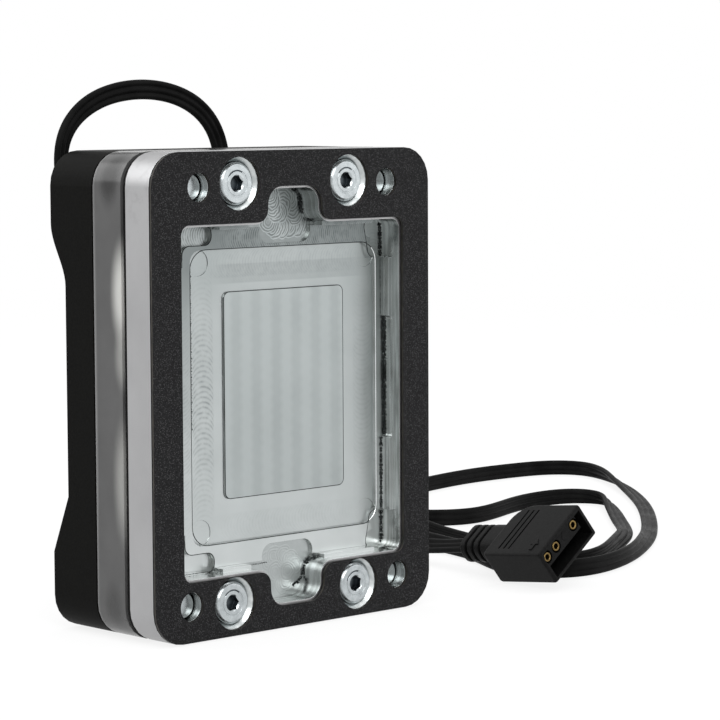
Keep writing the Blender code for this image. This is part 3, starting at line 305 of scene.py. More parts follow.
def ribbonOutline():
    # round wires joined by thin webs, as offsets across and through the ribbon
    radius, steps, last = lead["wire"] / 2, ribbon["arcSteps"], lead["wires"] - 1
    centres = [lead["wire"] * (i - last / 2) for i in range(lead["wires"])][::-1]
    upper = []
    for number, centre in enumerate(centres):
        start = ribbon["web"] if number > 0 else 0
        end = 180 - ribbon["web"] if number < last else 180
        for step in range(steps + 1):
            angle = math.radians(start + (end - start) * step / steps)
            upper.append((centre + radius * math.cos(angle), radius * math.sin(angle)))
    return upper + [(-u, -v) for u, v in upper[1:-1]]


def makeLead(finish):
    points = leadLine()
    tangents = [(b - a).normalized() for a, b in zip(points[:1] + points[:-1], points[1:] + points[-1:])]
    ways = thinWays(points, tangents)
    floorHigh, floorLow = ribbon["floor"]
    for point, tangent, way in zip(points, tangents, ways):
        # where the ribbon lies over, its middle comes down to the floor
        stands = (lead["width"] - lead["wire"]) / 2 * abs(tangent.cross(way).z) + lead["wire"] / 2
        point.z -= (lead["width"] / 2 - stands) * ease(-point.z, -floorHigh, -floorLow)
    outline = ribbonOutline()
    bm = bmesh.new()
    rings = []
    for point, tangent, way in zip(points, tangents, ways):
        across = tangent.cross(way)
        rings.append([bm.verts.new((point + across * u + way * v) * mm) for u, v in outline])
    for first, second in zip(rings, rings[1:]):
        for index in range(len(outline)):
            following = (index + 1) % len(outline)
            bm.faces.new((first[index], first[following], second[following], second[index]))
    bm.faces.new(rings[0][::-1])
    bm.faces.new(rings[-1])
    bmesh.ops.recalc_face_normals(bm, faces=bm.faces)
    for face in bm.faces:
        face.smooth = len(face.verts) == 4
    piece = addPiece("leadRibbon", bm, finish)
    length = sum((b - a).length for a, b in zip(points, points[1:])) * mm
    return piece, points, length


def wireSleeve():
    # PVC, extruded: near black, smooth, with a soft shine along each wire
    made, tree, main, place = startMaterial("pvcExtrudedBlack", Specular_IOR_Level=0.014)
    patches = put(tree, "ShaderNodeTexNoise", {"Vector": place, "Scale": 0.26 / mm, "Detail": 3})
    base = put(tree, "ShaderNodeValToRGB", {"Fac": patches}, stops=((0.3, "#101010"), (0.7, "#191919")))
    sheen = put(tree, "ShaderNodeMapRange", {"Value": patches, "From Min": 0.3, "From Max": 0.7,
                                             "To Min": 0.3, "To Max": 0.44})
    tree.links.new(sheen.outputs[0], main.inputs["Roughness"])
    grain = put(tree, "ShaderNodeTexNoise", {"Vector": place, "Scale": 2.6 / mm, "Detail": 2})
    finishMaterial(tree, main, base.outputs[0], grain, 0.15, 0.04)
    return made


leadPiece, leadPoints, leadLength = makeLead(wireSleeve())
setOn(leadPiece, "wire", "lead")
print("lead made,", round(leadLength, 4), "m long,", len(leadPoints), "places")


# Patterns that the metals share
def slowTone(tree, place, low, high, scale=0.09 / mm):
    # plating changes its tone slowly between two greys
    cloud = put(tree, "ShaderNodeTexNoise", {"Vector": place, "Scale": scale, "Detail": 4})
    return put(tree, "ShaderNodeValToRGB", {"Fac": cloud}, stops=((0.3, low), (0.7, high)))


def risingTone(tree, place, below, above):
    # the same tones, from one pair of greys at the window's foot to another, darker pair at its head: the
    # darkening is painted shade
    high = put(tree, "ShaderNodeSeparateXYZ", {0: place}).outputs["Z"]
    share = put(tree, "ShaderNodeMapRange", {"Value": high, "From Min": 12 * mm, "From Max": 58 * mm})
    return put(tree, "ShaderNodeMix", {0: share, 6: slowTone(tree, place, *below),
                                       7: slowTone(tree, place, *above)}, data_type="RGBA").outputs[2]


# how a pass's lines rise out of its wave, the grain that breaks them up, and how its sides fade
cutter = {"rise": (-0.4, 0.9), "grain": 1.1, "broken": (0.35, 0.62), "side": 0.25}


def cutterPass(tree, place, way):
    # the bowed lines that a round cutter leaves along one straight pass, fading at its sides and ends
    parts = put(tree, "ShaderNodeSeparateXYZ", {0: place}).outputs
    along, across = (parts["X"], parts["Z"]) if way["level"] else (parts["Z"], parts["X"])
    aside = put(tree, "ShaderNodeMath", {0: across, 1: way["line"] * mm}, operation="SUBTRACT")
    reach = (way["reach"] * mm) ** 2
    square = put(tree, "ShaderNodeMath", {0: aside, 1: aside, 2: -reach}, operation="MULTIPLY_ADD")
    drop = put(tree, "ShaderNodeMath", {0: square}, operation="ABSOLUTE")
    drop = put(tree, "ShaderNodeMath", {0: drop}, operation="SQRT")
    phase = put(tree, "ShaderNodeMath", {0: drop, 1: way["bow"], 2: along}, operation="MULTIPLY_ADD")
    turns = put(tree, "ShaderNodeMath", {0: phase, 1: math.tau / (way["pitch"] * mm)}, operation="MULTIPLY")
    wave = put(tree, "ShaderNodeMath", {0: turns}, operation="SINE")
    grain = put(tree, "ShaderNodeTexNoise", {"Vector": place, "Scale": cutter["grain"] / mm, "Detail": 2})
    lines, broken = (
        put(tree, "ShaderNodeMapRange", {"Value": value, "From Min": low, "From Max": high,
                                         "To Min": way["ground"], "To Max": 1.0})
        for value, (low, high) in ((wave, cutter["rise"]), (grain, cutter["broken"])))
    lines = put(tree, "ShaderNodeMath", {0: lines, 1: broken}, operation="MULTIPLY")
    half, middle = (way["high"] - way["low"]) / 2, (way["high"] + way["low"]) / 2
    off = put(tree, "ShaderNodeMath", {0: along, 1: middle * mm}, operation="SUBTRACT")
    off = put(tree, "ShaderNodeMath", {0: off}, operation="ABSOLUTE")
    ends = put(tree, "ShaderNodeMapRange", {"Value": off, "From Min": half * mm,
                                            "From Max": (half - way["fade"]) * mm})
    inside = put(tree, "ShaderNodeMapRange", {"Value": square, "From Min": 0.0,
                                              "From Max": -reach * cutter["side"]})
    shown = put(tree, "ShaderNodeMath", {0: ends, 1: inside}, operation="MULTIPLY")
    return put(tree, "ShaderNodeMath", {0: shown, 1: lines}, operation="MULTIPLY")


def withPasses(tree, place, colour, passes):
    # a metal's colour darkened by its cutter passes, and their height for a bump
    height = None
    for row in passes:
        way = dict(zip(passParts, row))
        lines = cutterPass(tree, place, way)
        share = put(tree, "ShaderNodeMath", {0: lines, 1: way["dark"]}, operation="MULTIPLY")
        colour = put(tree, "ShaderNodeMix", {0: share, 6: colour, 7: tint(way["code"])},
                     data_type="RGBA").outputs[2]
        height = put(tree, "ShaderNodeMath", {0: height, 1: lines}, operation="SUBTRACT") if height else lines
    return colour, height


# Cold plate: sizes in mm; the depths tell which cut a face of the pocket belongs to
plate = {"half": 27.0, "height": 70.0, "corner": 5.0, "bevel": 0.15, "shift": 1.5,
         "fieldHalf": 18.25, "fieldLow": 12.9, "fieldHigh": 55.8, "padHalf": 11.8,
         "plateau": 4.48, "field": 4.6,
         "pocketFrom": 1.0, "fieldFrom": 4.2, "padFrom": 4.3, "padTo": 4.42, "notchFrom": 4.5, "earFrom": 4.75,
         "edgesFrom": 3.95, "edgesTo": 4.9, "edgeReach": 0.5}
# the cutter's passes: level or upright, the line and its reach to each side, the two ends and how far they
# fade, the way and the pitch of its bowed lines, the tone between them, and how strong and what tone they are
passParts = ("level", "line", "reach", "low", "high", "fade", "bow", "pitch", "ground", "dark", "code")
fieldPasses = [
    (False, -14.13, 2.1, 14, 54.5, 22, -1, 0.75, 0.25, 0.68, "#6f7575"),
    (True, 53.55, 2.1, -15, 19, 6, 1, 0.55, 0.4, 0.3, "#7b8181"),
    (True, 52.1, 1.5, -13, 19, 5, 1, 0.5, 0.85, 0.3, "#777d7d"),
    (False, 17.45, 2.1, 15, 54, 14, 1, 0.75, 0.4, 0.22, "#7f8686"),
    (True, 15.2, 2.0, -14, 17, 8, 1, 0.6, 0.3, 0.16, "#7f8686"),
]
ledgePasses = [
    (True, 57.3, 2.3, -12.5, 19, 4, 1, 0.42, 0.2, 0.85, "#525757"),
    (False, -19.0, 2.4, 9, 56, 20, 1, 0.6, 0.2, 0.3, "#747a7a"),
]
earPasses = [
    (True, 57.85, 1.75, -21.3, -11, 1.5, 1, 0.45, 0.15, 0.75, "#5b6060"),
    (False, -19.75, 1.9, 53, 59.5, 1.5, -1, 0.5, 0.2, 0.6, "#666b6b"),
    (False, 19.9, 1.9, 52, 59.5, 2.5, -1, 0.5, 0.2, 0.25, "#747a7a"),
]
# x and z of each plunge of the end mill, the later ones over the earlier, and how they differ from a low
# notch to a high one: sizes in mm
swirls = {"pitch": 0.42, "soft": 0.1, "reach": 1.75, "core": (0.2, 0.9), "shake": 0.8, "shakeGrain": 0.65,
          "heights": (12, 55), "depths": (0.12, 0.62), "tones": ("#a9aeae", "#969c9c"), "spots": [
    (5.6, 59.8), (4.9, 59.0), (4.2, 58.7), (3.5, 58.9), (2.8, 58.5), (2.1, 58.9), (1.4, 58.5), (0.7, 58.8),
    (0.0, 58.5), (-0.7, 58.9), (-1.4, 59.4), (3.9, 60.3), (3.4, 61.2), (3.2, 62.2), (2.6, 63.1), (1.6, 62.7),
    (1.5, 61.7), (0.9, 60.8), (0.1, 60.9), (-0.4, 61.6), (-0.5, 62.5), (-0.9, 63.3),
    (-1.8, 9.3), (-0.6, 9.9), (1.2, 9.9), (2.6, 9.0), (3.4, 8.0), (-0.5, 7.5), (0.8, 5.4), (1.6, 6.2),
    (2.0, 7.4)]}
# the plate's ground sides: how high the dull foot and the mottled head lie, in mm, and their tones
ground = {"tones": ("#9f9fa0", "#ababac"), "foot": 4.0, "footShare": 0.1, "footTone": "#6f6f6b",
          "headLow": 56.0, "headHigh": 63.0, "headShare": 0.25, "headTone": "#858585"}


def nickelGround():
    # electroless nickel over ground copper: even and matt, a shade darker at the foot, mottled near the top
    made, tree, main, place = startMaterial("nickelGroundSides", Metallic=1.0, Roughness=0.42)
    high = put(tree, "ShaderNodeSeparateXYZ", {0: place}).outputs["Z"]
    foot = put(tree, "ShaderNodeMapRange", {"Value": high, "From Min": 0.0, "From Max": ground["foot"] * mm,
                                            "To Min": ground["footShare"], "To Max": 0.0})
    head = put(tree, "ShaderNodeMapRange", {"Value": high, "From Min": ground["headLow"] * mm,
                                            "From Max": ground["headHigh"] * mm})
    spots = put(tree, "ShaderNodeTexNoise", {"Vector": place, "Scale": 0.9 / mm, "Detail": 3})
    spots = put(tree, "ShaderNodeMapRange", {"Value": spots, "From Min": 0.52, "From Max": 0.7,
                                             "To Max": ground["headShare"]})
    spots = put(tree, "ShaderNodeMath", {0: spots, 1: head}, operation="MULTIPLY")
    tone = slowTone(tree, place, *ground["tones"])
    for share, code in ((foot, ground["footTone"]), (spots, ground["headTone"])):
        tone = put(tree, "ShaderNodeMix", {0: share, 6: tone, 7: tint(code)}, data_type="RGBA").outputs[2]
    drawn = put(tree, "ShaderNodeMapping", {"Vector": place, "Scale": (1, 1, 0.04)})
    marks = put(tree, "ShaderNodeTexNoise", {"Vector": drawn, "Scale": 4 / mm, "Detail": 2})
    finishMaterial(tree, main, tone, marks, 0.12, 0.02)
    return made


def nickelScored(name, below, above, rough, passes, strength):
    # fly cut and end milled nickel: pale, smooth, with bowed lines where the cutter passed
    made, tree, main, place = startMaterial(name, Metallic=1.0, Roughness=rough)
    colour, height = withPasses(tree, place, risingTone(tree, place, below, above), passes)
    finishMaterial(tree, main, colour, height, strength, 0.02)
    return made


def nickelNotch():
    # notch floors, plunged with a small end mill: overlapping rings, strong above and faint below, and a darker
    # tone above that is painted shade
    made, tree, main, place = startMaterial("nickelPlungeMilled", Metallic=1.0, Roughness=0.32)
    shaken = put(tree, "ShaderNodeTexNoise", {"Vector": place, "Scale": swirls["shakeGrain"] / mm, "Detail": 2})
    shaken = put(tree, "ShaderNodeVectorMath", {0: shaken.outputs["Color"], 1: (0.5, 0.5, 0.5)},
                 operation="SUBTRACT")
    shaken = put(tree, "ShaderNodeVectorMath", {0: shaken, "Scale": swirls["shake"] * mm}, operation="SCALE")
    worn = put(tree, "ShaderNodeVectorMath", {0: place, 1: shaken}, operation="ADD")
    wave, perTurn = 0.0, math.tau / (swirls["pitch"] * mm)
    (coreFrom, coreTo), reach = swirls["core"], swirls["reach"]
    for x, z in swirls["spots"]:
        local = put(tree, "ShaderNodeMapping", {"Vector": worn, "Location": (-x * mm, 0, -z * mm),
                                                "Scale": (1, 0, 1)})
        away = put(tree, "ShaderNodeVectorMath", {0: local}, operation="LENGTH").outputs["Value"]
        turns = put(tree, "ShaderNodeMath", {0: away, 1: perTurn}, operation="MULTIPLY")
        ring = put(tree, "ShaderNodeMath", {0: turns}, operation="SINE")
        core, inside = (
            put(tree, "ShaderNodeMapRange", {"Value": away, "From Min": low * mm, "From Max": high * mm})
            for low, high in ((coreFrom, coreTo), (reach, reach - swirls["soft"])))
        ring = put(tree, "ShaderNodeMath", {0: ring, 1: core}, operation="MULTIPLY")
        wave = put(tree, "ShaderNodeMix", {0: inside, 2: wave, 3: ring})
    high = put(tree, "ShaderNodeSeparateXYZ", {0: place}).outputs["Z"]
    (heightFrom, heightTo), (deepFrom, deepTo) = swirls["heights"], swirls["depths"]
    above = put(tree, "ShaderNodeMapRange", {"Value": high, "From Min": heightFrom * mm,
                                             "From Max": heightTo * mm})
    deep = put(tree, "ShaderNodeMapRange", {"Value": above, "To Min": deepFrom, "To Max": deepTo})
    share = put(tree, "ShaderNodeMapRange", {"Value": wave, "From Min": -0.8, "From Max": 0.8})
    share = put(tree, "ShaderNodeMath", {0: share, 1: deep}, operation="MULTIPLY")
    cloud = put(tree, "ShaderNodeTexNoise", {"Vector": place, "Scale": 0.5 / mm, "Detail": 3})
    cloud = put(tree, "ShaderNodeMapRange", {"Value": cloud, "From Min": 0.45, "From Max": 0.7, "To Max": 0.3})
    tone = tint(swirls["tones"][0])
    for part, code in ((above, swirls["tones"][1]), (cloud, "#c2c7c7"), (share, "#4a4e4e")):
        tone = put(tree, "ShaderNodeMix", {0: part, 6: tone, 7: tint(code)}, data_type="RGBA").outputs[2]
    finishMaterial(tree, main, tone, wave, 0.35, 0.02)
    return made


padStripes = {"width": 3.9, "chevron": 0.9, "skew": 0.3, "edge": (0.5, 1.4), "share": 0.34,
              "tones": ("#9ba1a1", "#a5abab"), "light": "#b6bcbc"}


def nickelPad():
    # lapped contact pad: faint upright stripes with fine chevrons in them
    made, tree, main, place = startMaterial("nickelLappedPad", Metallic=1.0, Roughness=0.32)
    parts = put(tree, "ShaderNodeSeparateXYZ", {0: place}).outputs
    zig = put(tree, "ShaderNodeMath", {0: parts["Z"], 1: padStripes["chevron"] * mm}, operation="PINGPONG")
    slant = put(tree, "ShaderNodeMath", {0: zig, 1: padStripes["skew"], 2: parts["X"]},
                operation="MULTIPLY_ADD")
    band = put(tree, "ShaderNodeMath", {0: slant, 1: padStripes["width"] / 2 * mm}, operation="PINGPONG")
    edgeFrom, edgeTo = padStripes["edge"]
    share = put(tree, "ShaderNodeMapRange", {"Value": band, "From Min": edgeFrom * mm, "From Max": edgeTo * mm,
                                             "To Max": padStripes["share"]})
    tone = put(tree, "ShaderNodeMix", {0: share, 6: slowTone(tree, place, *padStripes["tones"]),
                                       7: tint(padStripes["light"])}, data_type="RGBA").outputs[2]
    finishMaterial(tree, main, tone, band, 0.08, 0.02)
    return made


def nickelWall(name, low, high, light, rough):
    # walls cut with the mill's side: streaks that run along the wall, some of them bright
    made, tree, main, place = startMaterial(name, Metallic=1.0, Roughness=rough)
    drawn = put(tree, "ShaderNodeMapping", {"Vector": place, "Scale": (0.05, 1, 0.05)})
    marks = put(tree, "ShaderNodeTexNoise", {"Vector": drawn, "Scale": 1.7 / mm, "Detail": 3})
    share = put(tree, "ShaderNodeMapRange", {"Value": marks, "From Min": 0.42, "From Max": 0.62, "To Max": 0.5})
    tone = put(tree, "ShaderNodeMix", {0: share, 6: slowTone(tree, place, low, high, 0.26 / mm),
                                       7: tint(light)}, data_type="RGBA").outputs[2]
    finishMaterial(tree, main, tone, marks, 0.3, 0.03)
    return made


plateFinishes = [
    nickelGround(),
    # each floor's upper greys are darker: painted shade towards the window's head
    nickelScored("nickelFlyCutFloor", ("#b4b9b9", "#c0c5c5"), ("#9ba1a1", "#a8adad"), 0.32, fieldPasses, 0.12),
    nickelScored("nickelLedgeMilled", ("#b9bebe", "#c8cccc"), ("#6c7272", "#838989"), 0.34, ledgePasses, 0.3),
    nickelScored("nickelEarMilled", ("#b9bebe", "#c6caca"), ("#949a9a", "#a8adad"), 0.32, earPasses, 0.3),
    nickelNotch(),
    nickelPad(),
    nickelWall("nickelSideMilled", "#8d8f8c", "#b2b5b4", "#e6e9e8", 0.24),
    nickelWall("nickelBrokenEdge", "#cdd1d1", "#e2e5e5", "#f5f6f6", 0.2),
    # dark nickel: burrs, and painted shade at the feet and rims of the pocket's steps and along the right
    # wall's foot
    nickelWall("nickelBurrAndPaintedShade", "#222525", "#383b3b", "#4e5252", 0.45),
]
sides, floor, ledge, ear, notch, pad, wall, edge, burrAndShade = range(len(plateFinishes))


def plateFace(centre, normal):
    x, depth, z = centre.x / mm, centre.y / mm + blockDepth / 2, centre.z / mm
    aside = abs(x - plate["shift"])
    if normal.y < -0.9:
        if depth > plate["earFrom"]:
            return ear
        if plate["padFrom"] < depth < plate["padTo"] and aside < plate["padHalf"]:
            return pad
        inField = aside < plate["fieldHalf"] and plate["fieldLow"] < z < plate["fieldHigh"]
        if inField and depth > plate["fieldFrom"]:
            return floor
        if depth > plate["notchFrom"]:
            return notch
        return ledge if depth > plate["pocketFrom"] else sides
    if normal.y > 0.9:
        return sides
    cornerX = max(abs(x) - (plate["half"] - plate["corner"]), 0)
    cornerZ = max(abs(z - plate["height"] / 2) - (plate["height"] / 2 - plate["corner"]), 0)
    if math.hypot(cornerX, cornerZ) > plate["corner"] - 0.3:
        return sides
    return wall


def levelField(bm):
    # the low plateau is shown by its cutter lines alone, as its step is too small to catch light
    for vert in bm.verts:
        if abs(vert.co.y / mm + blockDepth / 2 - plate["plateau"]) < 0.01:
            vert.co.y = yAt(plate["field"])


def makePlate():
    cuts = [((0, 0, plate[key] * mm), (0, 0, 1)) for key in ("fieldLow", "fieldHigh")]
    piece = copyOf("cold_plate", "coldPlateMilled", plateFinishes, plateFace, cuts, levelField)
    settle(piece, bevel=plate["bevel"], edgeMaterial=edge)
    # the rounded edges deep in the pocket turn dark, as burrs and as painted shade at the feet and rims of its
    # steps; the field's right rim, which faces the light, keeps its bright edge
    fieldRight = plate["shift"] + plate["fieldHalf"]
    for face in piece.data.polygons:
        depth = face.center.y / mm + blockDepth / 2
        bright = face.normal.x < -0.5 and abs(face.center.x / mm - fieldRight) < plate["edgeReach"]
        deep = plate["edgesFrom"] < depth < plate["edgesTo"]
        if face.material_index == edge and deep and not bright:
            face.material_index = burrAndShade
    setOn(piece, "nickel", "cold_plate")


makePlate()
print("cold plate dressed")


# Film over the plate
film = {"bevel": 0.05, "speckShare": 0.6}


def filmFace():
    # polyester film, screen printed black and matt, with crisp pale specks drawn about 0.2 mm so that they
    # show: the specks are painted glints, where the matt grain catches the light
    made, tree, main, place = startMaterial("polyesterPrintedBlack", Roughness=0.62, Specular_IOR_Level=0.1)
    grain = put(tree, "ShaderNodeTexNoise", {"Vector": place, "Scale": 6.5 / mm, "Detail": 3, "Roughness": 0.7})
    base = put(tree, "ShaderNodeValToRGB", {"Fac": grain}, stops=(
        (0.36, "#0d0d0e"), (0.52, "#151516"), (0.66, "#252526")))
    # the pale specks: painted glints where the grain catches the light
    cells = put(tree, "ShaderNodeTexVoronoi", {"Vector": place, "Scale": 5.2 / mm})
    near = put(tree, "ShaderNodeMapRange", {"Value": cells.outputs["Distance"], "From Min": 0.36,
                                            "From Max": 0.14})
    chosen = put(tree, "ShaderNodeMapRange", {"Value": cells.outputs["Color"], "From Min": 0.4,
                                              "From Max": 0.75, "To Max": film["speckShare"]})
    share = put(tree, "ShaderNodeMath", {0: near, 1: chosen}, operation="MULTIPLY")
    tone = put(tree, "ShaderNodeMix", {0: share, 6: base, 7: tint("#5f5f60")}, data_type="RGBA").outputs[2]
    finishMaterial(tree, main, tone, grain, 0.35, 0.04)
    return made


def filmEdge():
    # the film's cut edge: dark, with the warm carrier just showing
    made, tree, main, place = startMaterial("polyesterCutEdge", Roughness=0.45, Specular_IOR_Level=0.25)
    finishMaterial(tree, main, slowTone(tree, place, "#171614", "#37332e", 0.7 / mm).outputs[0])
    return made


def makeFilm():
    piece = copyOf("insulating_sheet", "insulatingFilm", (filmFace(), filmEdge()),
                   lambda centre, normal: 0 if abs(normal.y) > 0.9 else 1)
    settle(piece, bevel=film["bevel"], edgeMaterial=0)
    setOn(piece, "film", "insulating_sheet")


makeFilm()
print("film dressed")


# Acrylic, gasket, cover and what lies inside
# each patch is its centre's depth and height, its half sizes, a tone and how strong it is; in mm. The pale
# patches and the long pale band near the back are painted reflections; the dark ones at the head and foot stand
# for the inner blocks behind
acrylicPatches = [
    (9.6, 66.3, 2.9, 5.4, "#1a1a1a", 0.85),
    (9.6, 4.6, 2.6, 5.2, "#2a2a2a", 0.5),
    (6.7, 50.0, 3.1, 9.0, "#dcdcd8", 0.8),
    (6.7, 41.0, 2.4, 6.0, "#b4b4b0", 0.55),
    (6.7, 23.0, 3.0, 11.0, "#b4b4b0", 0.6),
    (13.4, 36.0, 0.9, 60.0, "#a4a4a4", 0.5),
]


def acrylic():
    # cast acrylic, smoked and polished: see-through, with painted reflections as pale patches and a pale band
    # near the back, and dark patches for the inner blocks behind it
    made, tree, main, place = startMaterial("acrylicCastSmoked", Roughness=0.2, IOR=1.49,
                                            Transmission_Weight=0.3, Specular_IOR_Level=0.3)
    tone = slowTone(tree, place, "#484848", "#5c5c5c", 0.07 / mm)
    # painted reflections and the dark inner blocks, one patch at a time
    for depth, z, halfDepth, halfHeight, code, strength in acrylicPatches:
        scale = (0, 1 / (halfDepth * mm), 1 / (halfHeight * mm))
        middle = (0, -yAt(depth) * scale[1], -z * mm * scale[2])
        local = put(tree, "ShaderNodeMapping", {"Vector": place, "Location": middle, "Scale": scale})
        away = put(tree, "ShaderNodeVectorMath", {0: local}, operation="LENGTH").outputs["Value"]
        share = put(tree, "ShaderNodeMapRange", {"Value": away, "From Min": 1.0, "From Max": 0.25,
                                                 "To Max": strength}, interpolation_type="SMOOTHSTEP")
        tone = put(tree, "ShaderNodeMix", {0: share, 6: tone, 7: tint(code)}, data_type="RGBA").outputs[2]
    drawn = put(tree, "ShaderNodeMapping", {"Vector": place, "Scale": (1, 1, 0.06)})
    marks = put(tree, "ShaderNodeTexNoise", {"Vector": drawn, "Scale": 1.4 / mm, "Detail": 2})
    finishMaterial(tree, main, tone, marks, 0.06, 0.02)
    return made


def grained(name, low, high, rough, grains, level, strength=0.25):
    # even, with the fine grain that the mould or the blasting left; so many grains to the mm
    made, tree, main, place = startMaterial(name, Roughness=rough, Specular_IOR_Level=level)
    grain = put(tree, "ShaderNodeTexNoise", {"Vector": place, "Scale": grains / mm, "Detail": 3})
    base = put(tree, "ShaderNodeValToRGB", {"Fac": grain}, stops=((0.35, low), (0.65, high)))
    finishMaterial(tree, main, base.outputs[0], grain, strength, 0.04)
    return made


def turnedMetal(name, low, high, rough):
    # turned and plated metal: a fine grain from the lathe, and slow changes of tone
    made, tree, main, place = startMaterial(name, Metallic=1.0, Roughness=rough)
    fine = put(tree, "ShaderNodeTexNoise", {"Vector": place, "Scale": 6 / mm, "Detail": 2})
    finishMaterial(tree, main, slowTone(tree, place, low, high, 0.9 / mm).outputs[0], fine, 0.12, 0.02)
    return made


# plated steel, pale where it is turned, and dark in the sockets and the marked rings' grooves, where the dark
# is painted shade; nickel and gilt brass turned bright
screwSteel = turnedMetal("steelTurnedPlated", "#a6acae", "#c0c6c8", 0.25)
socketShadeSteel = turnedMetal("steelSocketPaintedShade", "#2f3336", "#565c60", 0.3)
collarNickel = turnedMetal("nickelCountersunk", "#aeb3b3", "#cdd1d1", 0.28)
giltBrass = turnedMetal("brassTurnedGilt", "#5a4a2e", "#8d774a", 0.34)
# aluminium, sand blasted and anodised black: even, with a soft edge shine
blackCover = grained("aluminiumBlastedBlack", "#080807", "#0f0f0e", 0.5, 3.6, 0.03, 0.3)
# moulded rubber, dull; and moulded polyamide, with a little shine
sealRubber = grained("rubberMouldedBlack", "#0b0b0b", "#151515", 0.7, 1.8, 0.06)
blackPlastic = grained("polyamideMouldedBlack", "#080808", "#101010", 0.46, 2.4, 0.07)


def dress(node, finish):
    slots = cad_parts[node].data.materials
    slots.clear()
    slots.append(finish)


def makeBlockLayers():
    for node, name, finish, slotName, bevel in (
            ("acrylic_body", "clearBody", acrylic(), "acrylic", 0.15),
            ("rear_cover", "humpedCover", blackCover, "cover", 0.35),
            ("main_gasket", "flatSeal", sealRubber, "seal", 0.0)):
        setOn(settle(copyOf(node, name, (finish,)), bevel=bevel), slotName, node)
    # the boards' green lacquer, and the diodes' pale filled resin
    board = grained("boardCoatedGreen", "#1f2b24", "#2c3a31", 0.45, 0.9, 0.06)
    diode = grained("diodeFilledPale", "#cfccc0", "#dedbd0", 0.35, 1.2, 0.4)
    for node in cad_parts:
        if node.startswith("light_board"):
            dress(node, board)
        elif node.startswith("led_"):
            dress(node, diode)
        elif node.startswith("port_seal"):
            dress(node, sealRubber)
    dress("jet_plate", turnedMetal("steelSheetRolled", "#8d9090", "#a5a8a8", 0.35))


makeBlockLayers()
print("layers dressed")


# Trees: each grows a piece from points or paths
def startTree(name, inputs):
    tree = bpy.data.node_groups.new(name, "GeometryNodeTree")
    tree.interface.new_socket("Geometry", in_out="INPUT", socket_type="NodeSocketGeometry")
    kinds = {float: "NodeSocketFloat", int: "NodeSocketInt", type(None): "NodeSocketMaterial"}
    for label, value in inputs.items():
        socket = tree.interface.new_socket(label, in_out="INPUT", socket_type=kinds[type(value)])
        if value is not None:
            socket.default_value = value
    tree.interface.new_socket("Geometry", in_out="OUTPUT", socket_type="NodeSocketGeometry")
    return tree, tree.nodes.new("NodeGroupInput").outputs, tree.nodes.new("NodeGroupOutput")


def endTree(tree, take, result, shape):
    real = put(tree, "GeometryNodeRealizeInstances", {"Geometry": shape})
    done = put(tree, "GeometryNodeSetMaterial", {"Geometry": real, "Material": take["Finish"]})
    tree.links.new(done.outputs[0], result.inputs[0])
    return tree


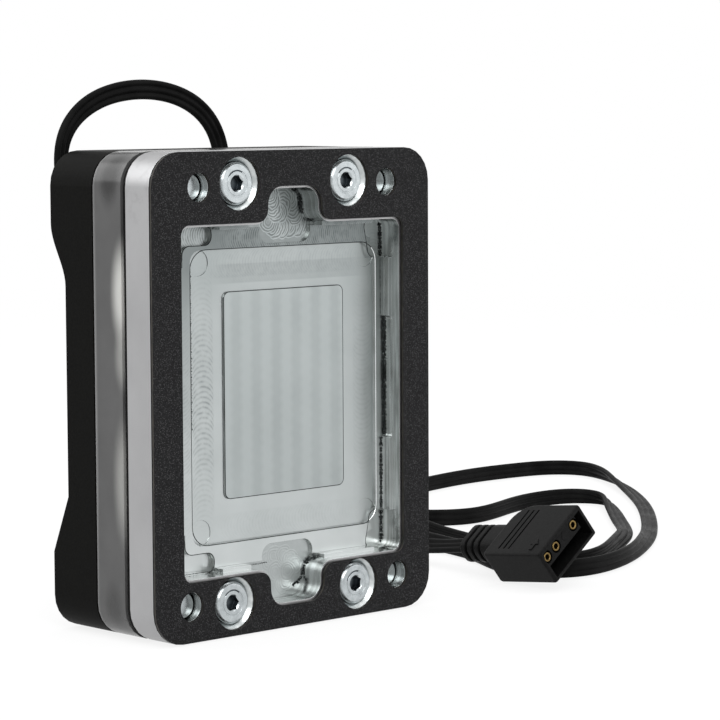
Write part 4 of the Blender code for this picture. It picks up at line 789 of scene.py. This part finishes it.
def screwTree():
    # a head with a hexagon socket and a marked ring, a shank and its tip, set at each point
    tree, take, result = startTree("screwPlaces", {
        "Head Radius": 0.003, "Head Height": 0.002, "Chamfer": 0.0003, "Shank Radius": 0.0015,
        "Shank Length": 0.01, "Tip": 0.0003, "Socket Radius": 0.0012, "Socket Depth": 0.001,
        "Ring Radius": 0.0018, "Ring Width": 0.0002, "Ring Depth": 0.0001, "Sides": 64, "Seed": 3,
        "Finish": None})
    sums = {}
    for name, first, second, operation in (
            ("head inner", take["Head Radius"], take["Chamfer"], "SUBTRACT"),
            ("head side", take["Head Height"], take["Chamfer"], "SUBTRACT"),
            ("head foot", take["Head Height"], -1.0, "MULTIPLY"),
            ("chamfer foot", take["Chamfer"], -1.0, "MULTIPLY"),
            ("shank", take["Shank Length"], 0.0005, "ADD"),
            ("shank foot", "head foot", take["Shank Length"], "SUBTRACT"),
            ("tip radius", take["Shank Radius"], take["Tip"], "SUBTRACT"),
            ("tip foot", "shank foot", take["Tip"], "SUBTRACT"),
            ("socket", take["Socket Depth"], 2.0, "MULTIPLY"),
            ("socket foot", take["Socket Depth"], -1.0, "MULTIPLY"),
            ("mouth wide", take["Socket Radius"], 1.12, "MULTIPLY"),
            ("mouth narrow", take["Socket Radius"], 0.86, "MULTIPLY"),
            ("mouth", take["Socket Radius"], 0.26, "MULTIPLY"),
            ("mouth foot", take["Socket Radius"], -0.2, "MULTIPLY"),
            ("ring outer", take["Ring Radius"], take["Ring Width"], "ADD"),
            ("ring foot", take["Ring Depth"], -0.5, "MULTIPLY"),
            ("keep", take["Ring Depth"], 4.0, "MULTIPLY"),
            ("keep foot", take["Ring Depth"], -2.0, "MULTIPLY")):
        first = sums[first] if isinstance(first, str) else first
        sums[name] = put(tree, "ShaderNodeMath", {0: first, 1: second}, operation=operation)
    sides, head, shank, ring = take["Sides"], take["Head Radius"], take["Shank Radius"], sums["ring outer"]
    forms = {}
    for name, vertices, bottom, top, depth, foot in (
            ("head", sides, head, head, sums["head side"], sums["head foot"]),
            ("crown", sides, head, sums["head inner"], take["Chamfer"], sums["chamfer foot"]),
            ("shank", sides, shank, shank, sums["shank"], sums["shank foot"]),
            ("tip", sides, sums["tip radius"], shank, take["Tip"], sums["tip foot"]),
            ("hexagon", 6, take["Socket Radius"], take["Socket Radius"], sums["socket"], sums["socket foot"]),
            ("mouth", 32, sums["mouth narrow"], sums["mouth wide"], sums["mouth"], sums["mouth foot"]),
            ("ring", sides, ring, ring, take["Ring Depth"], sums["ring foot"]),
            ("keep", sides, take["Ring Radius"], take["Ring Radius"], sums["keep"], sums["keep foot"])):
        cone = put(tree, "GeometryNodeMeshCone", {"Vertices": vertices, "Radius Bottom": bottom,
                                                  "Radius Top": top, "Depth": depth})
        move = put(tree, "ShaderNodeCombineXYZ", {"Z": foot})
        forms[name] = put(tree, "GeometryNodeTransform", {"Geometry": cone, "Translation": move})
    cut = put(tree, "GeometryNodeMeshBoolean", {"Mesh 1": forms["ring"], "Mesh 2": forms["keep"]},
              operation="DIFFERENCE", solver="EXACT")
    joined = [forms[name] for name in ("tip", "shank", "crown", "head")]
    solid = put(tree, "GeometryNodeMeshBoolean", {"Mesh 2": joined}, operation="UNION", solver="EXACT")
    screw = put(tree, "GeometryNodeMeshBoolean", {
        "Mesh 1": solid, "Mesh 2": [cut, forms["mouth"], forms["hexagon"]]},
                operation="DIFFERENCE", solver="EXACT")
    spin = put(tree, "FunctionNodeRandomValue", {"Max": (0.0, 0.0, 1.05), "Seed": take["Seed"]},
               data_type="FLOAT_VECTOR")
    placed = put(tree, "GeometryNodeInstanceOnPoints", {"Points": take["Geometry"], "Instance": screw,
                                                        "Rotation": spin})
    return endTree(tree, take, result, placed)


def threadTree():
    # a helical ridge for the mouth of each hose port, set at each point
    tree, take, result = startTree("threadPlaces", {"Radius": 0.0059, "Pitch": 0.001337, "Turns": 2.8,
                                                    "Ridge": 0.00045, "Steps": 48, "Finish": None})
    rise = put(tree, "ShaderNodeMath", {0: take["Pitch"], 1: take["Turns"]}, operation="MULTIPLY")
    helix = put(tree, "GeometryNodeCurveSpiral", {"Resolution": take["Steps"], "Rotations": take["Turns"],
                                                  "Start Radius": take["Radius"], "End Radius": take["Radius"],
                                                  "Height": rise})
    helix = put(tree, "GeometryNodeSetCurveNormal", {"Curve": helix}, mode="Z_UP")
    ridge = put(tree, "GeometryNodeCurvePrimitiveCircle", {"Resolution": 4, "Radius": take["Ridge"]})
    swept = put(tree, "GeometryNodeCurveToMesh", {"Curve": helix, "Profile Curve": ridge, "Fill Caps": True})
    placed = put(tree, "GeometryNodeInstanceOnPoints", {"Points": take["Geometry"], "Instance": swept})
    return endTree(tree, take, result, placed)


def lineTree():
    # a fine line along each path, as a cutter's corner leaves it; on the rims the dark lines also carry painted
    # shade, and the bright one a painted highlight where the rim faces the light
    tree, take, result = startTree("linePaths", {"Radius": 0.00007, "Sides": 6, "Finish": None})
    line = put(tree, "GeometryNodeMeshToCurve", {"Mesh": take["Geometry"]})
    around = put(tree, "GeometryNodeCurvePrimitiveCircle", {"Resolution": take["Sides"],
                                                            "Radius": take["Radius"]})
    swept = put(tree, "GeometryNodeCurveToMesh", {"Curve": line, "Profile Curve": around, "Fill Caps": True})
    return endTree(tree, take, result, swept)


def burrAndShadowTree():
    # small grains of random size and turn, strung along each path: ragged burrs along a milled foot, and
    # painted shadow where the foot lies dark
    tree, take, result = startTree("burrAndShadowPaths", {"Spacing": 0.00016, "Smallest": 0.00006, "Largest": 0.0002,
                                                 "Stray": 0.00009, "Seed": 7, "Finish": None})
    line = put(tree, "GeometryNodeMeshToCurve", {"Mesh": take["Geometry"]})
    spots = put(tree, "GeometryNodeResampleCurve", {"Curve": line, "Length": take["Spacing"]}, mode="LENGTH")
    spots = put(tree, "GeometryNodeCurveToPoints", {"Curve": spots}, mode="EVALUATED")
    back = put(tree, "ShaderNodeMath", {0: take["Stray"], 1: -1.0}, operation="MULTIPLY")
    small, large = take["Smallest"], take["Largest"]
    spans = [put(tree, "ShaderNodeCombineXYZ", dict(zip("XYZ", parts)))
             for parts in ([back] * 3, [take["Stray"]] * 3, [small] * 3, [large, small, large])]
    stray, size = (put(tree, "FunctionNodeRandomValue", {"Min": low, "Max": high, "Seed": take["Seed"]},
                       data_type="FLOAT_VECTOR") for low, high in (spans[:2], spans[2:]))
    spots = put(tree, "GeometryNodeSetPosition", {"Geometry": spots, "Offset": stray})
    grain = put(tree, "GeometryNodeMeshIcoSphere", {"Radius": 1.0, "Subdivisions": 1})
    turned = put(tree, "FunctionNodeRandomValue", {"Max": (3.1, 3.1, 3.1), "Seed": take["Seed"]},
                 data_type="FLOAT_VECTOR")
    placed = put(tree, "GeometryNodeInstanceOnPoints", {"Points": spots, "Instance": grain, "Rotation": turned,
                                                        "Scale": size})
    return endTree(tree, take, result, placed)


def grown(name, tree, places, values, joins=()):
    # a piece grown by a tree from points or paths, with the tree's inputs set by their identifiers
    mesh = bpy.data.meshes.new(name)
    mesh.from_pydata(places, joins, [])
    piece = bpy.data.objects.new(name, mesh)
    scene.collection.objects.link(piece)
    grow = piece.modifiers.new("grow", "NODES")
    grow.node_group = tree
    for item in tree.interface.items_tree:
        if item.in_out == "INPUT" and item.name in values:
            grow[item.identifier] = values[item.name]
    makeSolid(piece)
    return piece


def facing(piece, front):
    # turns a tree's +Z to the contact side (-Y) or the hose side (+Y)
    piece.data.transform(Matrix.Rotation(math.radians(90 if front else -90), 4, "X"))
    piece.data.update()


# Screws: places are (x, z), and ends are how deep each tip lies
screws = {
    "assembly": {"places": [(-10.67, 65.29), (10.67, 65.29), (-12.17, 4.74), (12.17, 4.74)], "top": 0.6,
                 "ends": [21.0] * 4,
                 "sizes": {"Head Radius": 3.1, "Head Height": 2.0, "Chamfer": 0.35, "Shank Radius": 1.5,
                           "Tip": 0.3, "Socket Radius": 1.2, "Socket Depth": 1.1,
                           "Ring Radius": 1.75, "Ring Width": 0.22, "Ring Depth": 0.09}},
    "mounting": {"places": [(-18.27, 64.91), (18.27, 64.91), (-20.31, 5.21), (20.31, 5.21)], "top": 22.3,
                 "ends": [2.07, 2.5, 2.0, 2.5],
                 "sizes": {"Head Radius": 3.5, "Head Height": 3.5, "Chamfer": 0.35, "Shank Radius": 1.95,
                           "Tip": 0.15, "Socket Radius": 1.7, "Socket Depth": 1.75,
                           "Ring Radius": 2.3, "Ring Width": 0.2, "Ring Depth": 0.1}},
}
corners = {"top_left": "TopLeft", "top_right": "TopRight",
           "bottom_left": "BottomLeft", "bottom_right": "BottomRight"}
# the faces of a socket and of the marked ring, which take the painted shade, told by how far out and how deep
# they lie, in mm
socketFaces = {"ringReach": 0.28, "ringFrom": 0.04, "ringTo": 0.2, "spare": 0.1, "sharp": 28, "bevel": 0.05}


def makeScrews(kind, front, tree):
    given = screws[kind]
    sizes = given["sizes"]
    # the tree works with the head up along +Z, so a place's height becomes its Y or -Y
    sign = 1 if front else -1
    for (x, z), end, (corner, label), seed in zip(given["places"], given["ends"], corners.items(), range(3, 7)):
        values = {key: value * mm for key, value in sizes.items()}
        values["Shank Length"] = (abs(end - given["top"]) - sizes["Head Height"] - sizes["Tip"]) * mm
        values["Finish"], values["Seed"] = screwSteel, seed
        place = (x * mm, sign * z * mm, -sign * yAt(given["top"]))
        piece = grown(f"{kind}Screw{label}", tree, [place], values)
        facing(piece, front)
        settle(piece, sharp=socketFaces["sharp"], bevel=socketFaces["bevel"])
        # the socket's and the ring's faces take painted shade
        piece.data.materials.append(socketShadeSteel)
        shade = len(piece.data.materials) - 1
        for face in piece.data.polygons:
            away = math.hypot(face.center.x / mm - x, face.center.z / mm - z)
            below = abs(face.center.y - yAt(given["top"])) / mm
            inRing = abs(away - sizes["Ring Radius"]) < socketFaces["ringReach"]
            inRing = inRing and socketFaces["ringFrom"] < below < socketFaces["ringTo"]
            socketFoot = sizes["Socket Depth"] + socketFaces["spare"]
            if inRing or away < sizes["Socket Radius"] and socketFaces["ringTo"] < below < socketFoot:
                face.material_index = shade
        setOn(piece, "steel", f"{kind}_screw_{corner}")


screwPlaces = screwTree()
makeScrews("assembly", True, screwPlaces)
makeScrews("mounting", False, screwPlaces)


# Countersunk collars round the assembly screws: a profile of (radius, depth) turned about each screw
collar = {"profile": [(3.84, 0.66), (3.84, 2.8), (3.22, 2.8), (3.22, 1.25)], "steps": 96}


def makeCollars():
    bm = bmesh.new()
    for x, z in screws["assembly"]["places"]:
        rings = []
        for step in range(collar["steps"]):
            angle = math.tau * step / collar["steps"]
            rings.append([bm.verts.new(((x + radius * math.cos(angle)) * mm, yAt(depth),
                                        (z + radius * math.sin(angle)) * mm))
                          for radius, depth in collar["profile"]])
        for first, second in zip(rings, rings[1:] + rings[:1]):
            for index in range(len(first)):
                bm.faces.new((first[index], first[index - 1], second[index - 1], second[index]))
    bmesh.ops.recalc_face_normals(bm, faces=bm.faces)
    piece = addPiece("recessCollars", bm, collarNickel)
    setOn(settle(piece, sharp=25), "nickel")


makeCollars()
print("screws and collars set")


# Threads in the hose ports, and dark grains in the window: ragged burrs along the notches, and painted shadow
# along the right wall's foot and in the relief's gap; paths of (x, z, depth)
ports = {"spread": 14.0, "height": 35.0, "foot": 15.3}
tornAndShadow = {
    "heavy": {"values": {"Smallest": 0.09, "Largest": 0.3, "Stray": 0.13, "Spacing": 0.12}, "paths": [
        [(3.9, 64.15, 4.55), (4.75, 63.4, 4.55), (4.95, 62.4, 4.45), (5.0, 60.9, 4.35), (6.2, 59.5, 4.15),
         (9.0, 58.95, 4.08)],
        [(3.1, 64.3, 4.6), (4.2, 63.6, 4.6), (4.75, 62.6, 4.58), (4.95, 61.2, 4.5)],
        # along the right wall's foot and in the relief's gap: painted shadow
        [(21.2, 58.9, 4.7), (21.25, 56.0, 4.75), (21.2, 53.7, 4.7)],
        [(21.25, 44.2, 4.0), (21.25, 26.3, 4.0)], [(21.28, 44.2, 3.8), (21.28, 26.3, 3.8)],
        [(20.7, 25.8, 4.05), (20.7, 15.0, 4.05)],
        [(21.2, 14.5, 4.7), (21.25, 12.0, 4.75), (21.2, 9.4, 4.7)],
        [(3.0, 5.1, 4.57), (4.1, 5.5, 4.57), (4.8, 6.3, 4.57), (4.95, 7.3, 4.55), (5.6, 8.4, 4.35),
         (6.7, 9.0, 4.1)]]},
    "light": {"values": {"Smallest": 0.03, "Largest": 0.11, "Stray": 0.05, "Spacing": 0.12}, "paths": [
        [(20.72, 53.2, 4.06), (20.72, 44.7, 4.06)],
        [(-16.6, 53.0, 4.15), (-16.6, 30.0, 4.15)],
        [(-2.3, 9.1, 4.5), (-8.0, 9.1, 4.08), (-20.0, 9.1, 4.08)]]},
}
# lines along the rims of the pad, the field and the ears, partly a cutter's corner lines: the dark ones painted
# shade, the bright one a painted highlight where the field's rim faces the light. Their depth, whether they
# close, and for each corner the x and z of its centre, its radius and the angles that it runs through
rimLines = {
    "dark": {"finish": burrAndShade, "radius": 0.065, "paths": [
        (4.38, True, [(-9.2, 20.3, 1.0, 270, 180), (-9.2, 48.5, 1.0, 180, 90),
                      (12.2, 48.5, 1.0, 90, 0), (12.2, 20.3, 1.0, 360, 270)]),
        (4.13, False, [(16.75, 15.9, 3.0, 300, 270), (-13.75, 15.9, 3.0, 270, 180),
                       (-13.75, 52.8, 3.0, 180, 90), (16.75, 52.8, 3.0, 90, 45)]),
        (4.13, False, [(-13.95, 58.0, 1.3, 90, 0), (-13.95, 57.7, 1.3, 0, -90),
                       (-16.85, 55.1, 1.3, 90, 180), (-19.45, 54.7, 1.3, 0, -90)]),
        (4.13, False, [(-13.95, 10.25, 1.3, -90, 0), (-13.95, 10.55, 1.3, 0, 90),
                       (-16.85, 13.15, 1.3, -90, -180), (-19.45, 13.55, 1.3, 0, 90)]),
        (4.13, False, [(18.75, 58.0, 1.3, 90, 180), (19.45, 54.7, 1.3, 180, 270)]),
        (4.13, False, [(18.75, 10.25, 1.3, 270, 180), (19.45, 13.55, 1.3, 180, 90)])]},
    "bright": {"finish": edge, "radius": 0.1, "paths": [
        (4.13, False, [(16.75, 52.8, 3.0, 45, 0), (16.75, 15.9, 3.0, 360, 300)])]},
}
cornerSteps = 8


def makeRimLines():
    tree = lineTree()
    for name, given in rimLines.items():
        places, joins = [], []
        for depth, closed, turns in given["paths"]:
            start = len(places)
            for x, z, radius, first, last in turns:
                for step in range(cornerSteps + 1):
                    angle = math.radians(first + (last - first) * step / cornerSteps)
                    places.append(((x + radius * math.cos(angle)) * mm, yAt(depth),
                                   (z + radius * math.sin(angle)) * mm))
            joins += [(i, i + 1) for i in range(start, len(places) - 1)]
            if closed:
                joins.append((len(places) - 1, start))
        values = {"Radius": given["radius"] * mm, "Finish": plateFinishes[given["finish"]]}
        setOn(settle(grown(f"{name}RimLines", tree, places, values, joins), sharp=60), "nickel")


def makeThreads():
    places = [(side * ports["spread"] * mm, -ports["height"] * mm, yAt(ports["foot"])) for side in (-1, 1)]
    piece = grown("portThreads", threadTree(), places, {"Finish": blackCover})
    facing(piece, False)
    setOn(settle(piece, sharp=30), "cover")


def makeBurrsAndShadow():
    tree = burrAndShadowTree()
    for name, given in tornAndShadow.items():
        places, joins = [], []
        for path in given["paths"]:
            start = len(places)
            places += [(x * mm, yAt(depth), z * mm) for x, z, depth in path]
            joins += [(start + i, start + i + 1) for i in range(len(path) - 1)]
        values = {key: value * mm for key, value in given["values"].items()}
        values["Finish"] = plateFinishes[burrAndShade]
        setOn(grown(f"{name}BurrsAndShadow", tree, places, values, joins), "nickel")


makeThreads()
makeBurrsAndShadow()
makeRimLines()
print("threads and torn edges made")


# Connector, its strain relief and contacts; small marks are in the housing's own frame, in mm
plug = {"face": 3.05, "raise": 0.14, "sink": 0.1, "bevel": 0.06,
        "blank": (0.6, 1.2), "blankRadius": 0.8, "blankFrom": -6.2, "blankTo": -3.0,
        "arrow": [(-4.9, -4.05), (-3.6, -4.05), (-3.6, -4.6), (-2.3, -3.75), (-3.6, -2.9), (-3.6, -3.45),
                  (-4.9, -3.45)],
        "nubs": [((5.9, 6.35), (-3.75, -2.85), (-0.6, 0.9)), ((5.9, 6.3), (2.1, 2.9), (-0.5, 0.8))]}


def makePlugMarks():
    # a raised arrow, two side nubs, and the plug that closes the unused place
    bm = bmesh.new()
    arrow = [bm.verts.new((x, y, plug["face"] - plug["sink"])) for x, y in plug["arrow"]]
    sunk = bm.faces.new(arrow)
    lifted = bmesh.ops.extrude_face_region(bm, geom=[sunk])["geom"]
    bmesh.ops.translate(bm, verts=[v for v in lifted if isinstance(v, bmesh.types.BMVert)],
                        vec=(0, 0, plug["raise"] + plug["sink"]))
    for spans in plug["nubs"]:
        box = bmesh.ops.create_cube(bm, size=1)["verts"]
        for axis, (low, high) in enumerate(spans):
            for vert in box:
                vert.co[axis] = low + (vert.co[axis] + 0.5) * (high - low)
    (x, z), length, radius = plug["blank"], plug["blankTo"] - plug["blankFrom"], plug["blankRadius"]
    turned = Matrix.Translation((x, plug["blankFrom"] + length / 2, z))
    turned = turned @ Matrix.Rotation(math.radians(90), 4, "X")
    bmesh.ops.create_cone(bm, cap_ends=True, segments=28, radius1=radius, radius2=radius, depth=length,
                          matrix=turned)
    bmesh.ops.recalc_face_normals(bm, faces=bm.faces)
    place = Matrix.Translation(Vector(lead["housing"]) * mm) @ leadTurn().to_4x4() @ Matrix.Scale(mm, 4)
    bmesh.ops.transform(bm, matrix=place, verts=bm.verts)
    piece = settle(addPiece("plugMarks", bm, blackPlastic), bevel=plug["bevel"])
    setOn(piece, "plastic")
    return piece


def makeConnector():
    given = [("connector_housing", "socketHousing", "plastic", blackPlastic, 0.12),
             ("strain_relief", "ribbedSleeve", "plastic", blackPlastic, 0.1)]
    given += [(f"contact_{n}", f"socketContact{n}", "gilt", giltBrass, 0.08) for n in (1, 2, 4)]
    pieces = [makePlugMarks()]
    for node, name, slotName, finish, bevel in given:
        pieces.append(settle(copyOf(node, name, (finish,)), bevel=bevel))
        setOn(pieces[-1], slotName, node)
    return pieces


makeConnector()
print("connector dressed")


# Floor, backdrop and lamps
# sizes in metres: the shadow shows up to near and is gone at far, where the paper glows fully
stage = {"size": 6.0, "drop": 0.0002, "world": 0.62, "near": 0.2, "far": 0.75, "glow": 0.84,
         "aim": (0.01, 0, 0.035)}
lamps = {
    "key": {"place": (-0.55, -0.75, 0.75), "size": 0.7, "power": 7.6},
    "fill": {"place": (0.75, -0.65, 0.45), "size": 0.8, "power": 2.6},
    "back": {"place": (-0.5, 0.7, 0.6), "size": 0.8, "power": 3.5},
    "top": {"place": (0.05, 0.0, 1.0), "size": 0.9, "power": 4.0},
}


def seenWhite(tree):
    # 1 for the camera's own rays and for those that metal and glass send on
    path = put(tree, "ShaderNodeLightPath").outputs
    both = put(tree, "ShaderNodeMath", {0: path["Is Camera Ray"], 1: path["Is Glossy Ray"]},
               operation="MAXIMUM")
    return put(tree, "ShaderNodeMath", {0: both, 1: path["Is Transmission Ray"]}, operation="MAXIMUM")


def paperFloor():
    # seamless paper: white, with a soft shadow under the block that is gone further out
    made, tree, main, place = startMaterial("paperMatWhite", Roughness=0.9, Specular_IOR_Level=0.0)
    main.inputs["Base Color"].default_value = tint("#f4f4f4")
    glow = put(tree, "ShaderNodeEmission", {"Color": (1, 1, 1, 1), "Strength": 1.0})
    away = put(tree, "ShaderNodeVectorMath", {0: place}, operation="LENGTH").outputs["Value"]
    share = put(tree, "ShaderNodeMapRange", {"Value": away, "From Min": stage["near"], "From Max": stage["far"],
                                             "To Min": stage["glow"], "To Max": 1.0})
    share = put(tree, "ShaderNodeMath", {0: share, 1: seenWhite(tree)}, operation="MULTIPLY")
    mix = put(tree, "ShaderNodeMixShader", {0: share, 1: main, 2: glow})
    tree.links.new(mix.outputs[0], tree.nodes["Material Output"].inputs["Surface"])
    return made


def makeStage():
    bm = bmesh.new()
    bmesh.ops.create_grid(bm, x_segments=1, y_segments=1, size=stage["size"] / 2)
    bmesh.ops.translate(bm, verts=bm.verts, vec=(0, 0, -stage["drop"]))
    addPiece("paperFloor", bm, paperFloor())
    world = bpy.data.worlds.new("studio")
    scene.world = world
    world.use_nodes = True
    tree = world.node_tree
    back = tree.nodes["Background"]
    back.inputs["Color"].default_value = (1, 1, 1, 1)
    strength = put(tree, "ShaderNodeMapRange", {
        "Value": seenWhite(tree), "To Min": stage["world"], "To Max": 1.0})
    tree.links.new(strength.outputs[0], back.inputs["Strength"])
    for name, lamp in lamps.items():
        data = bpy.data.lights.new(name, "AREA")
        data.energy, data.size = lamp["power"], lamp["size"]
        lit = bpy.data.objects.new(name, data)
        turn = (Vector(stage["aim"]) - Vector(lamp["place"])).to_track_quat("-Z", "Y")
        lit.matrix_world = Matrix.Translation(lamp["place"]) @ turn.to_matrix().to_4x4()
        scene.collection.objects.link(lit)


makeStage()
print("stage and lamps set")
